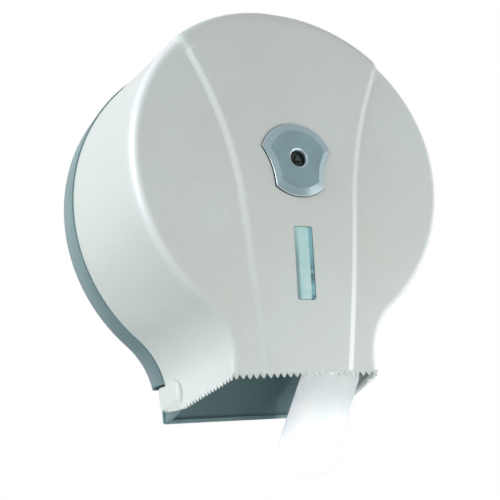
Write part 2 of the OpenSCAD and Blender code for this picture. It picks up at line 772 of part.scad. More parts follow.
// Screws that clamp the housing and the escutcheon from inside the cover.
module lock_screws() {
    head_d = lock_seat_d - lock_flange_t;
    color([0.75, 0.76, 0.78]) {
        lock_screw_discs(lock_screw_r, head_d - head_bite, axis_panel_d + lock_screw_end);
        for (x = [-lock_screw_x, lock_screw_x])
            screw_head(x, spindle_z, head_d, lock_screw_head_r, -1);
    }
}

module lock_barrel() {
    seat = esc_d - head_fit - barrel_head_t + seat_sink / 2;
    face = esc_d - head_fit - barrel_lip;
    color([0.20, 0.22, 0.23]) difference() {
        union() {
            axis_disc(barrel_r, barrel_end_d, face);
            axis_disc(barrel_head_r, seat, face);
            slab(face - barrel_lip / 2, face + key_peg_t) translate([0, spindle_z]) rotate(90)
                circle(key_peg_r, $fn = 3);
        }
        axis_disc(screw_r + screw_fit, barrel_end_d - 1, barrel_end_d + thread_l);
    }
}

module lock_cam() {
    front = barrel_end_d - cam_gap;
    color([0.62, 0.64, 0.66]) difference() {
        union() {
            axis_disc(cam_hub_r, front - cam_t, front);
            slab(front - cam_t, front) translate([0, spindle_z - tongue_w / 2])
                square([cam_reach, tongue_w]);
        }
        axis_disc(screw_r + screw_fit, front - cam_t - 1, front + 1);
    }
}

module lock_cam_screw() {
    head_d = barrel_end_d - cam_gap - cam_t;
    color([0.75, 0.76, 0.78]) {
        axis_disc(screw_r, head_d - head_bite, head_d + cam_screw_l);
        screw_head(0, spindle_z, head_d, screw_head_r, -1);
    }
}

back_plate();
spindle_post();
post_screws();
roll_hub();
hub_retainer();
latch_striker();
striker_screws();
roll_core();
paper_roll();
paper_tail();
cover();
hinge_pin_left();
hinge_pin_right();
window_lens();
lock_escutcheon();
lock_housing();
lock_screws();
lock_barrel();
lock_cam();
lock_cam_screw();
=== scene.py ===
import math
import random
import bpy
import bmesh
from mathutils import Matrix, Vector


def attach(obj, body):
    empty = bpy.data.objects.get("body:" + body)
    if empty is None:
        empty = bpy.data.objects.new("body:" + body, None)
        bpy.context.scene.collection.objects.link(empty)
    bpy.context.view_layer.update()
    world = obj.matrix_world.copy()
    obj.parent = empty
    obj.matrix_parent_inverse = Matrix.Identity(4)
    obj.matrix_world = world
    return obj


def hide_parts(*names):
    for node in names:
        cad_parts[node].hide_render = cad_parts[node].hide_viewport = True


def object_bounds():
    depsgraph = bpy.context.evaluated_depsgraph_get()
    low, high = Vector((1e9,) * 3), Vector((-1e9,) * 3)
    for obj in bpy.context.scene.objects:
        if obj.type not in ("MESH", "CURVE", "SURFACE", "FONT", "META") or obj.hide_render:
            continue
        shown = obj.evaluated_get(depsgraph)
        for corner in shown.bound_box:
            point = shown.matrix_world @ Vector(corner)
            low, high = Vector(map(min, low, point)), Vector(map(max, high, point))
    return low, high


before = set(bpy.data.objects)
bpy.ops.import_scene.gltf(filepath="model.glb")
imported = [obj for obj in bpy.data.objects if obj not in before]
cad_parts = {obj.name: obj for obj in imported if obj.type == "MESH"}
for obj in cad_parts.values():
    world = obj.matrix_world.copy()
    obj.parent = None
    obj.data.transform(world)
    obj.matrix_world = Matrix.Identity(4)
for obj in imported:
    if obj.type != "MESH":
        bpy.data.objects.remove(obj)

cadLow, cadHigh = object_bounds()
print("frame loaded:", len(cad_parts), "nodes")
mm = 0.001
axisHeight = 12  # millimetres from the centre of the plate up to the axis that the roll and the lock share


class Wire:  # one shader output that can be written into sums
    def __init__(self, bench, socket):
        self.bench, self.socket = bench, socket

    def calc(self, how, a, b=0.0):
        return self.bench.add("ShaderNodeMath", {"operation": how}, {0: a, 1: b})

    def __add__(self, other):
        return self.calc("ADD", self, other)

    def __radd__(self, other):
        return self.calc("ADD", other, self)

    def __sub__(self, other):
        return self.calc("SUBTRACT", self, other)

    def __rsub__(self, other):
        return self.calc("SUBTRACT", other, self)

    def __mul__(self, other):
        return self.calc("MULTIPLY", self, other)

    def __rmul__(self, other):
        return self.calc("MULTIPLY", other, self)

    def root(self):
        return self.calc("POWER", self, 0.5)

    def sine(self):
        return self.calc("SINE", self)


class Bench:  # builds one material, or the world
    def __init__(self, name, kind="materials"):
        self.made = getattr(bpy.data, kind).new(name)
        self.made.use_nodes = True
        self.tree = self.made.node_tree
        self.tree.nodes.clear()
        self.place = self.add("ShaderNodeTexCoord", out="Object")

    def add(self, kind, settings=None, feeds=None, out=0):
        node = self.tree.nodes.new(kind)
        for key, value in (settings or {}).items():
            setattr(node, key, value)
        for key, value in (feeds or {}).items():
            if isinstance(value, Wire):
                self.tree.links.new(value.socket, node.inputs[key])
            else:
                node.inputs[key].default_value = value
        return Wire(self, node.outputs[out]) if node.outputs else None

    def mark(self, name):  # a number painted on the points of a piece
        return self.add("ShaderNodeAttribute", {"attribute_name": name}, None, "Fac")

    def noise(self, size, detail=2.0, rough=0.5, at=None):  # size is about the width of a blotch
        return self.add("ShaderNodeTexNoise", {"noise_dimensions": "3D"},
                        {"Vector": at or self.place, "Scale": 1 / size, "Detail": detail, "Roughness": rough})

    def spread(self, value, low, high, start=0.0, end=1.0):
        return self.add("ShaderNodeMapRange", {"clamp": True},
                        {"Value": value, "From Min": low, "From Max": high, "To Min": start, "To Max": end})

    def patches(self, kind, at=None):
        size, detail, rough, low, high = kind  # a patch starts where the noise is at low and is full at high
        return self.spread(self.noise(size, detail, rough, at), low, high)

    def wander(self, kind):  # a value that drifts over the surface
        middle, reach, size = kind
        return self.noise(size, 3) * reach + (middle - reach / 2)

    def mix(self, share, a, b):
        a, b = (c if isinstance(c, Wire) else (*c, 1) for c in (a, b))
        return self.add("ShaderNodeMix", {"data_type": "RGBA"}, {0: share, 6: a, 7: b}, 2)

    def most(self, a, b):
        return self.add("ShaderNodeMath", {"operation": "MAXIMUM"}, {0: a, 1: b})

    def axes(self):
        outs = self.add("ShaderNodeSeparateXYZ", None, {0: self.place}).socket.node.outputs
        return [Wire(self, outs[i]) for i in range(3)]

    def fromAxis(self):  # distance from the axis of the roll and the lock
        x, _, z = self.axes()
        up = z - axisHeight * mm
        return (x * x + up * up).root()

    def stretch(self, size):  # object coordinates scaled along each axis
        return self.add("ShaderNodeMapping", {"vector_type": "POINT"}, {"Vector": self.place, "Scale": size})

    def bump(self, height, strength, depth):
        return self.add("ShaderNodeBump", None, {"Height": height, "Strength": strength, "Distance": depth})

    def close(self, **feeds):
        shell = self.add("ShaderNodeBsdfPrincipled", None, {k.replace("_", " "): v for k, v in feeds.items()})
        self.add("ShaderNodeOutputMaterial", None, {"Surface": shell})
        return self.made

    def pick(self, share, one, two, end):  # ends the tree with one of two shaders, by share
        both = self.add("ShaderNodeMixShader", None, {0: share, 1: one, 2: two})
        self.add(end, None, {"Surface": both})
        return self.made


def shade(r, g, b):  # a colour given as it shows on screen, 0 to 255
    return tuple((c / 255 / 12.92) if c <= 10 else ((c / 255 + 0.055) / 1.055) ** 2.4 for c in (r, g, b))


# The finishes are in metres. A patch is (width, detail, roughness, noise where it starts, noise where it is
# full), and a roughness of three values is (middle, range, width of a patch).

coverFinish = {
    # two colours here are painted light: a painted highlight along the ridges and edges, and painted shade on
    # the inner surface and the backs of the teeth
    "tint": shade(200, 206, 200), "cool": shade(204, 212, 210), "fleck": shade(187, 194, 189),
    "crest": shade(243, 247, 250), "inside": shade(128, 140, 140), "fleckShare": 0.5, "paintedShadeShare": 0.85,
    "roughness": (0.37, 0.1, 0.03), "coat": 0.15, "coatRoughness": 0.2, "gloss": 0.5,
    "cloudPatch": (0.09, 2, 0.5, 0.3, 0.7), "fleckPatch": (0.0011, 3, 0.65, 0.42, 0.66),
    "thumbPatch": (0.012, 4, 0.7, 0.42, 0.7), "thumbHeight": (-0.105, -0.15), "thumbRough": 0.12,
    "scratchPatch": (0.004, 5, 0.75, 0.62, 0.8), "scratchGrain": (9, 9, 0.6), "scratchRough": 0.08,
    "skinSize": 0.0035, "grainSize": 0.0011, "skinDepth": 0.00005,
}


def coverPlastic():
    b, c = Bench("coverPlastic"), coverFinish
    thumbed = b.spread(b.axes()[2], *c["thumbHeight"]) * b.patches(c["thumbPatch"])  # dulled above the teeth
    scratch = b.patches(c["scratchPatch"], b.stretch(c["scratchGrain"]))
    tint = b.mix(b.patches(c["cloudPatch"]), c["tint"], c["cool"])
    tint = b.mix(b.patches(c["fleckPatch"]) * c["fleckShare"], tint, c["fleck"])
    tint = b.mix(b.mark("crest"), tint, c["crest"])  # painted highlight along the ridges and the edge blend
    # painted shade over the inner surface, darkest at the outlet, and on the backs of the teeth
    tint = b.mix(b.mark("inside") * c["paintedShadeShare"], tint, c["inside"])
    skin = b.noise(c["skinSize"], 3, 0.6) * 0.6 + b.noise(c["grainSize"], 2) * 0.4
    rough = b.wander(c["roughness"]) + thumbed * c["thumbRough"] + scratch * c["scratchRough"]
    return b.close(Base_Color=tint, Roughness=rough, Normal=b.bump(skin, 0.25, c["skinDepth"]),
                   Coat_Weight=c["coat"], Coat_Roughness=c["coatRoughness"], Specular_IOR_Level=c["gloss"])


plateFinish = {
    "tint": shade(110, 137, 139), "deep": shade(103, 129, 132), "edge": shade(134, 159, 161),
    "roughness": (0.42, 0.12, 0.02), "gloss": 0.45, "cloudPatch": (0.05, 3, 0.5, 0.35, 0.65),
    "dustPatch": (0.006, 5, 0.7, 0.55, 0.75), "paleShare": 0.12, "grainSize": 0.0007, "grainDepth": 0.00008,
}


def platePlastic():
    b, c = Bench("platePlastic"), plateFinish
    grain = b.noise(c["grainSize"], 4, 0.7)
    tint = b.mix(b.patches(c["cloudPatch"]), c["tint"], c["deep"])
    tint = b.mix(b.patches(c["dustPatch"]) * c["paleShare"], tint, c["edge"])
    tint = b.mix(b.spread(grain, 0.4, 0.7) * c["paleShare"], tint, c["edge"])
    return b.close(Base_Color=tint, Roughness=b.wander(c["roughness"]), Specular_IOR_Level=c["gloss"],
                   Normal=b.bump(grain, 0.3, c["grainDepth"]))


badgeFinish = {
    "tint": shade(124, 153, 158), "deep": shade(114, 142, 149), "brushed": shade(150, 178, 184),
    # three colours are painted light: lighter chamfers, a near-white highlight along the edge and round the
    # keyhole, and dark shade round the sides and down the keyhole
    "slope": shade(152, 174, 181), "rim": shade(214, 226, 230), "skirt": shade(44, 58, 62),
    "rubbed": shade(165, 188, 192), "paintedLightSlopeShare": 0.75, "paintedRimHighlightShare": 0.8, "brushShare": 0.1, "rubShare": 0.12,
    "metal": 0.25, "roughness": (0.24, 0.1, 0.01), "rubRough": 0.15, "coat": 0.3, "coatRoughness": 0.1,
    "cloudPatch": (0.02, 3, 0.5, 0.35, 0.65), "rubPatch": (0.0012, 4, 0.7, 0.45, 0.7),
    "rubReach": (0.0072, 0.011), "brushSize": 0.002, "brushGrain": (1, 1, 0.12), "brushDepth": 0.00004,
}


def badgePlastic():
    b, c = Bench("badgePlastic"), badgeFinish
    brushed = b.noise(c["brushSize"], 3, 0.6, b.stretch(c["brushGrain"]))
    rub = b.spread(b.fromAxis(), *c["rubReach"], 1, 0) * b.patches(c["rubPatch"])  # rubbed round the keyhole
    tint = b.mix(b.patches(c["cloudPatch"]), c["tint"], c["deep"])
    tint = b.mix(b.spread(brushed, 0.4, 0.7) * c["brushShare"], tint, c["brushed"])
    # painted light: the chamfers are lighter
    tint = b.mix(b.mark("slope") * c["paintedLightSlopeShare"], tint, c["slope"])
    # painted highlight along the outer edge and on the keyhole's chamfer
    tint = b.mix(b.mark("rim") * c["paintedRimHighlightShare"], tint, c["rim"])
    # painted shadow round the sides, in the gap, and down the keyhole
    tint = b.mix(b.mark("skirt"), tint, c["skirt"])
    tint = b.mix(rub * c["rubShare"], tint, c["rubbed"])
    rough = b.wander(c["roughness"]) + rub * c["rubRough"]
    return b.close(Base_Color=tint, Metallic=c["metal"], Roughness=rough,
                   Normal=b.bump(brushed, 0.12, c["brushDepth"]),
                   Coat_Weight=c["coat"], Coat_Roughness=c["coatRoughness"])


lensFinish = {
    # the left, side and deep colours are painted shade on the prism's edges, and the pale colour is painted
    # light from the paper roll behind
    "tint": shade(196, 234, 232), "cloud": shade(176, 220, 220), "pale": shade(228, 244, 243),
    "left": shade(118, 150, 153), "side": shade(112, 176, 188), "deep": shade(66, 110, 116),
    "cloudShare": 0.5, "paleShare": 0.6, "paintedLipShadeShare": 0.6, "paintedLeftShadeShare": 0.85,
    "halfWidth": 0.0078, "rightInset": (0.0044, 0.0034), "leftInset": (0.0032, 0.0014), "edgeWander": 0.0016,
    "wanderSize": 0.007,
    "paintedLeftShadeFade": (-0.044, -0.068, 0.35, 1), "paintedRollLightFade": (-0.06, -0.09), "paintedSideShadeFade": (-0.06, -0.075),
    "paintedLipShadeFade": (-0.0975, -0.0985),  # each fade runs between two heights
    "cloudPatch": (0.012, 3, 0.5, 0.35, 0.65), "paintedRollLightPatch": (0.005, 4, 0.65, 0.4, 0.6),
    "paintedSideShadePatch": (0.009, 3, 0.7, 0.45, 0.62), "scuffPatch": (0.0025, 5, 0.75, 0.55, 0.75),
    "scuffGrain": (6, 6, 1), "scuffRough": 0.14, "roughness": 0.1, "clearness": 0.2, "bend": 1.49,
    "waveSize": 0.008, "waveDepth": 0.0003,
}


def clearPlastic():
    b, c = Bench("clearPlastic"), lensFinish
    x, _, z = b.axes()
    wander = b.noise(c["wanderSize"], 3, 0.6) * c["edgeWander"] - c["edgeWander"] / 2
    # painted shade on the prism: its right facet a darker teal, patchily darker low down, and its left edge
    # grey, most of all low down
    right = b.spread(x + wander * 0.5, *(c["halfWidth"] - inset for inset in c["rightInset"]))
    left = b.spread(x + wander, *(inset - c["halfWidth"] for inset in c["leftInset"]))
    left = left * b.spread(z, *c["paintedLeftShadeFade"])
    # painted light: pale patches low down, where the lit paper roll shows through
    pale = b.spread(z, *c["paintedRollLightFade"]) * b.patches(c["paintedRollLightPatch"])
    side = b.mix(b.patches(c["paintedSideShadePatch"]) * b.spread(z, *c["paintedSideShadeFade"]), c["side"], c["deep"])
    tint = b.mix(b.patches(c["cloudPatch"]) * c["cloudShare"], c["tint"], c["cloud"])
    tint = b.mix(pale * c["paleShare"], tint, c["pale"])
    # painted shade: the bottom edge takes the right facet's darker teal
    tint = b.mix(b.spread(z, *c["paintedLipShadeFade"]) * c["paintedLipShadeShare"], tint, c["side"])
    tint = b.mix(right, b.mix(left * c["paintedLeftShadeShare"], tint, c["left"]), side)
    scuff = b.patches(c["scuffPatch"], b.stretch(c["scuffGrain"]))
    return b.close(Base_Color=tint, Roughness=scuff * c["scuffRough"] + c["roughness"], IOR=c["bend"],
                   Transmission_Weight=c["clearness"],
                   Normal=b.bump(b.noise(c["waveSize"], 2), 0.2, c["waveDepth"]))


lockFinish = {"tint": shade(26, 34, 35), "worn": shade(48, 60, 62), "roughness": (0.4, 0.2, 0.005),
              "grainSize": 0.0008, "grainDepth": 0.00005}


def lockPlastic():
    b, c = Bench("lockPlastic"), lockFinish
    grain = b.noise(c["grainSize"], 4, 0.6)
    return b.close(Base_Color=b.mix(b.spread(grain, 0.35, 0.7), c["tint"], c["worn"]),
                   Roughness=b.wander(c["roughness"]), Normal=b.bump(grain, 0.3, c["grainDepth"]))


hubFinish = {"tint": shade(206, 212, 212), "dust": shade(226, 228, 226), "roughness": (0.395, 0.15, 0.01),
             "dustPatch": (0.004, 5, 0.7, 0.5, 0.72), "dustShare": 0.3, "ringsPerMetre": 668.45,
             "grainSize": 0.001, "ringDepth": 0.00005}


def hubPlastic():
    b, c = Bench("hubPlastic"), hubFinish
    ring = (b.fromAxis() * (math.tau * c["ringsPerMetre"])).sine()  # turning marks
    return b.close(Base_Color=b.mix(b.patches(c["dustPatch"]) * c["dustShare"], c["tint"], c["dust"]),
                   Roughness=b.wander(c["roughness"]),
                   Normal=b.bump(ring * 0.3 + b.noise(c["grainSize"], 3), 0.12, c["ringDepth"]))


steelFinish = {
    "zinc": (shade(182, 186, 190), 0.26), "spring": (shade(170, 174, 178), 0.34),  # tint and roughness
    "bright": shade(205, 208, 212), "spot": shade(140, 140, 140), "spotPatch": (0.003, 5, 0.7, 0.55, 0.75),
    "spotShare": 0.35, "spotRough": 0.15, "brushSize": 0.0006, "brushGrain": (1, 0.08, 1), "brushRough": 0.16,
    "brushDepth": 0.00004,
}


def steel(kind):
    b, c = Bench(kind + "Steel"), steelFinish
    tint, rough = c[kind]
    brushed = b.noise(c["brushSize"], 4, 0.65, b.stretch(c["brushGrain"]))
    spots = b.patches(c["spotPatch"])
    tint = b.mix(spots * c["spotShare"], b.mix(brushed, tint, c["bright"]), c["spot"])
    return b.close(Base_Color=tint, Metallic=1.0, Normal=b.bump(brushed, 0.2, c["brushDepth"]),
                   Roughness=brushed * c["brushRough"] + rough + spots * c["spotRough"])


boardFinish = {"tint": shade(196, 172, 138), "dark": shade(168, 142, 108), "seam": shade(128, 102, 74),
               "seamShare": 0.5, "seamWidth": (0.985, 0.999), "windPitch": 0.044, "roughness": 0.82,
               "fibreSize": 0.0008, "fibreGrain": (1, 0.3, 1), "fibreDepth": 0.0002}


def cardboard():
    b, c = Bench("cardboard"), boardFinish
    fibre = b.noise(c["fibreSize"], 5, 0.7, b.stretch(c["fibreGrain"]))
    x, y, z = b.axes()
    turn = x.calc("ARCTAN2", z - axisHeight * mm, x) + y * (math.tau / c["windPitch"])  # wound in a spiral
    seam = b.spread(turn.sine(), *c["seamWidth"])
    tint = b.mix(b.spread(fibre, 0.3, 0.7), c["tint"], c["dark"])
    tint = b.mix(seam * c["seamShare"], tint, c["seam"])
    return b.close(Base_Color=tint, Roughness=fibre * 0.1 + c["roughness"],
                   Normal=b.bump(fibre - seam * 0.6, 0.4, c["fibreDepth"]))


tissueFinish = {
    "tint": shade(252, 253, 253), "cool": shade(244, 249, 252), "fibre": shade(234, 240, 244),
    "band": shade(219, 225, 231), "gap": shade(205, 212, 220), "fibreShare": 0.2, "bandShare": 0.5,
    "gapShare": 0.15, "cloudPatch": (0.03, 3, 0.5, 0.35, 0.65), "fibreSize": 0.0009, "crepeSize": 0.0011,
    "crepeGrain": (1, 0.35, 1), "dotPitch": 0.0024, "dotEdge": (0.15, 0.45), "dotScatter": 0.35,
    "layerPitch": 0.00042, "layerWander": 0.0016, "wanderSize": 0.05,
    "bandPatch": (0.004, 3, 0.6, 0.35, 0.65), "roughness": 0.86, "gloss": 0.25, "fuzz": 0.25,
    "depth": 0.00022,
}


def tissue(name, wound):
    b, c = Bench(name), tissueFinish
    fibre = b.noise(c["fibreSize"], 5, 0.7)
    tint = b.mix(b.patches(c["cloudPatch"]), c["tint"], c["cool"])
    tint = b.mix(b.spread(fibre, 0.5, 0.75) * c["fibreShare"], tint, c["fibre"])
    crepe = b.noise(c["crepeSize"], 3, 0.6, b.stretch(c["crepeGrain"]))
    dots = b.add("ShaderNodeTexVoronoi", {"feature": "F1"},
                 {"Vector": b.place, "Scale": 1 / c["dotPitch"], "Randomness": c["dotScatter"]})
    height = crepe * 0.5 + b.spread(dots, *c["dotEdge"]) * 0.5 + fibre * 0.4
    if wound:  # edges of the layers on the two end faces
        far = b.fromAxis()
        turns = (far + b.noise(c["wanderSize"], 2) * c["layerWander"]) * (math.tau / c["layerPitch"])
        ridge = turns.sine() * 0.5 + 0.5
        bands = b.patches(c["bandPatch"], b.add("ShaderNodeCombineXYZ", None, {0: far, 1: 0.0, 2: 0.0}))
        tint = b.mix(bands * c["bandShare"], tint, c["band"])
        tint = b.mix(ridge * c["gapShare"], tint, c["gap"])
        height = height * 0.5 + ridge * 0.6 + bands * 0.6
    return b.close(Base_Color=tint, Roughness=fibre * 0.08 + c["roughness"], Specular_IOR_Level=c["gloss"],
                   Normal=b.bump(height, 0.3, c["depth"]), Sheen_Weight=c["fuzz"], Sheen_Roughness=0.5)


finishes = {
    "cover": coverPlastic(), "plate": platePlastic(), "badge": badgePlastic(), "lens": clearPlastic(),
    "lock": lockPlastic(), "hub": hubPlastic(), "zinc": steel("zinc"), "spring": steel("spring"),
    "cardboard": cardboard(), "sheet": tissue("tissueSheet", False), "roll": tissue("tissueRoll", True),
}
print("finishes made:", len(finishes))


def loose(name, data):  # an object that hangs on nothing yet
    obj = bpy.data.objects.new(name, data)
    bpy.context.scene.collection.objects.link(obj)
    return obj


def keep(name, mesh, finish, body, instead=(), sharp=32):  # finishes a piece and hangs it on its body
    piece = loose(name, mesh)
    mesh.materials.clear()
    mesh.materials.append(finishes[finish])
    mesh.shade_smooth()
    mesh.set_sharp_from_angle(angle=math.radians(sharp))
    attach(piece, body)
    if instead:
        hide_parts(*instead)
    return piece


def meshOf(name, points, faces, **marks):  # points in millimetres, and one number a point for each mark
    mesh = bpy.data.meshes.new(name)
    mesh.from_pydata([tuple(c * mm for c in p) for p in points], [], faces)
    for word, values in marks.items():
        mesh.attributes.new(word, "FLOAT", "POINT").data.foreach_set("value", values)
    work = bmesh.new()
    work.from_mesh(mesh)
    bmesh.ops.remove_doubles(work, verts=work.verts, dist=0.00001)
    bmesh.ops.dissolve_degenerate(work, edges=work.edges, dist=0.000001)
    bmesh.ops.recalc_face_normals(work, faces=work.faces)
    work.to_mesh(mesh)
    work.free()
    return mesh


def baked(obj):  # the object's mesh with its modifiers worked in
    graph = bpy.context.evaluated_depsgraph_get()
    mesh = bpy.data.meshes.new_from_object(obj.evaluated_get(graph), depsgraph=graph)
    bpy.data.objects.remove(obj)
    return mesh


def tube(rings, closed=False):  # faces between rings of equal length
    n, last = len(rings[0]), (len(rings) - 1) * len(rings[0])
    faces = []
    for base in range(0, last, n):
        for i in range(n):
            k = (i + 1) % n
            faces.append((base + i, base + k, base + n + k, base + n + i))
    if closed:
        faces += [(last + i, last + (i + 1) % n, (i + 1) % n, i) for i in range(n)]
    else:
        faces += [tuple(range(n))[::-1], tuple(last + i for i in range(n))]
    return [p for ring in rings for p in ring], faces


def grow(points, faces, rings, closed=False):  # adds one more tube to a piece
    base = len(points)
    some, more = tube(rings, closed)
    points += some
    faces += [tuple(base + i for i in f) for f in more]


# the cover: one surface worked out row by row, from the seam over the side wall to the middle of the face

coverShape = {
    "radius": 148.8, "neckHalf": 78.3, "flare": 66, "seamDepth": 27.4, "faceDepth": 135, "wall": 2.6,
    "sideDraft": 0.14, "lift": 0.078, "neckDraft": 0.175, "flareLoss": 0.16, "bulge": 4.5, "bulgeHeight": 18,
    "bulgeReach": 100, "blend": 8, "blendReach": 40, "frontDrop": 156, "sideSlope": 0.196, "sideDrop": 168.5,
    "panelRise": 2.5, "panelHalf": 33, "panelSlope": 0.098, "panelCurve": 0.00172, "panelCurveFrom": -20,
    "bandWidth": 6.5, "stripHalf": 87, "stripRise": 1.8, "spineLow": -60, "spineTop": 60, "edgeFall": 3,
    "rounding": 0.16, "wallSteps": 18, "blendSteps": 9, "wingSteps": 16, "panelSteps": 18, "sharpest": 34,
    "rowSteps": {"neck": 10, "flare": 20, "round": 52, "top": 30},
}
teethShape = {
    "depth": 3.6, "frontPitch": 5.3, "sidePitch": 4.3, "backEnd": 52, "backRun": 3, "bite": 0.7, "tip": 0.35,
    "flat": 0.15, "thick": 1.1, "taper": 0.35, "sink": 0.02, "inset": 2.6, "endInsets": (3.2, 2.5),
    # the next line also holds the painted shade on the back faces of the teeth
    "pathSteps": 120, "lean": 0.03, "paintedBackShade": 0.15, "sharpest": 30,
}
c = coverShape
edgeDepth = c["faceDepth"] - c["edgeFall"] * c["bulge"]  # depth of the bulged face at the front teeth


def clamped(value):
    return min(1, max(0, value))


def soft(t):  # a straight ramp with rounded ends
    r = c["rounding"]
    if t <= 0:
        return 0
    if t >= 1:
        return 1
    if t < r:
        return t * t / (2 * r * (1 - r))
    if t > 1 - r:
        return 1 - (1 - t) ** 2 / (2 * r * (1 - r))
    return (t - r / 2) / (1 - r)


def bottomAt(s):  # height of the bottom edge, at the roots of the teeth where there are teeth
    t, depth = teethShape, s + c["seamDepth"]
    drop = min(c["sideDrop"], c["frontDrop"] + c["sideSlope"] * (edgeDepth - depth))
    return t["depth"] * soft((depth - t["backEnd"]) / t["backRun"]) - drop


def outlineAt(row, s, off):  # (x, z) of one row, s in front of the seam, off inside the outer surface
    kind, t = row
    f, n = c["flare"] - c["flareLoss"] * s + off, c["neckHalf"] - c["neckDraft"] * s - off
    r, rise = c["radius"] - c["sideDraft"] * s - off, c["lift"] * s
    cx = n + f
    low = rise - math.sqrt((r + f) ** 2 - cx ** 2)
    if kind == "neck":
        return n, bottomAt(s) + t * (low - bottomAt(s))
    if kind == "flare":
        a = t * math.atan2(rise - low, cx)
        return cx - f * math.cos(a), low + f * math.sin(a)
    start = math.atan2(cx, rise - low)
    outer, inner = (math.pi - math.asin(w / r) for w in (c["stripHalf"] + c["bandWidth"], c["stripHalf"]))
    first, last = {"round": (start, outer), "band": (outer, inner), "top": (inner, math.pi)}[kind]
    a = first + t * (last - first)
    return r * math.sin(a), rise - r * math.cos(a)


def faceAt(z, off=0):
    return c["faceDepth"] - off - c["bulge"] * ((z - c["bulgeHeight"]) / c["bulgeReach"]) ** 2


def panelEdge(z):
    curved = max(0, z - c["panelCurveFrom"])
    return c["panelHalf"] + c["panelSlope"] * (z + c["frontDrop"]) + c["panelCurve"] * curved ** 2


def faceRise(x, z):
    return c["panelRise"] * soft((panelEdge(z) + c["bandWidth"] - abs(x)) / c["bandWidth"])


def stripRise(x, z):
    return 0 if z < 0 else c["stripRise"] * soft((c["stripHalf"] + c["bandWidth"] - abs(x)) / c["bandWidth"])


def spineAt(z):
    low, top = c["spineLow"], c["spineTop"]
    return z if z <= low else low + (z - low) * (top - low) / (c["radius"] - low)


def creaseAt(row, off):  # where a row's side wall would meet the face, closer with each turn
    s = 100
    for _ in range(5):
        s = faceAt(outlineAt(row, s, off)[1], off) - c["seamDepth"]
    return s


def wallPoint(row, s, off):
    x, z = outlineAt(row, s, off)
    rise = c["lift"] * s
    k = stripRise(x, z) / max(1, math.hypot(x, z - rise))
    return Vector((x * (1 + k), -(c["seamDepth"] + s), z + (z - rise) * k))


def facePoint(x0, z0, t, off):
    x, z = x0 * (1 - t), z0 + t * (spineAt(z0) - z0)
    return Vector((x, -faceAt(z, off) - faceRise(x, z), z))


def crossing(x0, z0, t0, extra):  # where a row's line meets the edge of the raised panel
    low, high = t0, 1.0
    for _ in range(26):
        mid = (low + high) / 2
        x, z = x0 * (1 - mid), z0 + mid * (spineAt(z0) - z0)
        low, high = (mid, high) if x > panelEdge(z) + extra else (low, mid)
    return low


def steps(a, b, n):
    return [a + (b - a) * i / n for i in range(n)]


# how bright the painted highlight is on the ridges and the edge blend, and how dark the painted shade inside
# is: pairs are left and right, and a fade is its lowest height and its length
paintedLight = {"edge": 0.6, "foot": (0.0, 0.8), "low": (0.08, 0.6), "high": (0.34, 0.14), "flat": (1.0, 1.7),
          "edgeFade": (-110, 130), "ridgeFade": (-130, 150), "paintedShadeLeast": 0.4}
bandSteps = (0, 0.08, 0.16, 0.33, 0.5, 0.67, 0.84, 0.92)


def halfRow(row, off):
    s = creaseAt(row, off)
    x0, z0 = outlineAt(row, s, off)
    blend = c["blend"] - off
    t0 = blend / (x0 + c["blendReach"])
    a, b, corner = wallPoint(row, s - blend, off), facePoint(x0, z0, t0, off), wallPoint(row, s, off)
    corner.y -= faceRise(x0, z0)
    line = [wallPoint(row, u, off) for u in steps(0, s - blend, c["wallSteps"])]
    line += [a * (1 - t) ** 2 + corner * 2 * t * (1 - t) + b * t * t for t in steps(0, 1, c["blendSteps"])]
    outer = max(crossing(x0, z0, t0, c["bandWidth"]), t0 + 0.03 * (1 - t0))  # a little apart, even at the top
    inner = max(crossing(x0, z0, t0, 0), outer + 0.05 * (1 - t0))
    cuts = steps(t0, outer, c["wingSteps"]) + [outer + (inner - outer) * u for u in bandSteps]
    cuts += steps(inner, 1, c["panelSteps"]) + [1]
    return line + [facePoint(x0, z0, t, off) for t in cuts]


def shellRows():
    rows = []
    for kind in ("neck", "flare", "round", "band", "top"):
        rows += [(kind, t) for t in (bandSteps if kind == "band" else steps(0, 1, c["rowSteps"][kind]))]
    return rows + [("top", 1.0)]


def paintedHighlightLine(row, side):  # how much painted highlight each point of a half row gets, on the ridges and the edge blend
    kind, t = row
    z = outlineAt(row, 0, 0)[1]
    foot, low, high, flat = (paintedLight[key][side] for key in ("foot", "low", "high", "flat"))
    up, upRidge = ((z - start) / length for start, length in (paintedLight["edgeFade"], paintedLight["ridgeFade"]))
    fade = {"top": 0.0, "band": 1 - t}.get(kind, 1.0)
    edge = fade * min(1, max(foot, up)) * paintedLight["edge"]
    ridge = fade * (low + (high - low) * clamped(upRidge))
    line = [0.0] * c["wallSteps"]
    line += [edge * math.sin(math.pi * (i + 0.5) / c["blendSteps"]) for i in range(c["blendSteps"])]
    line += [0.0] * c["wingSteps"] + [ridge * min(1, flat * math.sin(math.pi * u)) for u in bandSteps]
    return line + [0.0] * (c["panelSteps"] + 1)


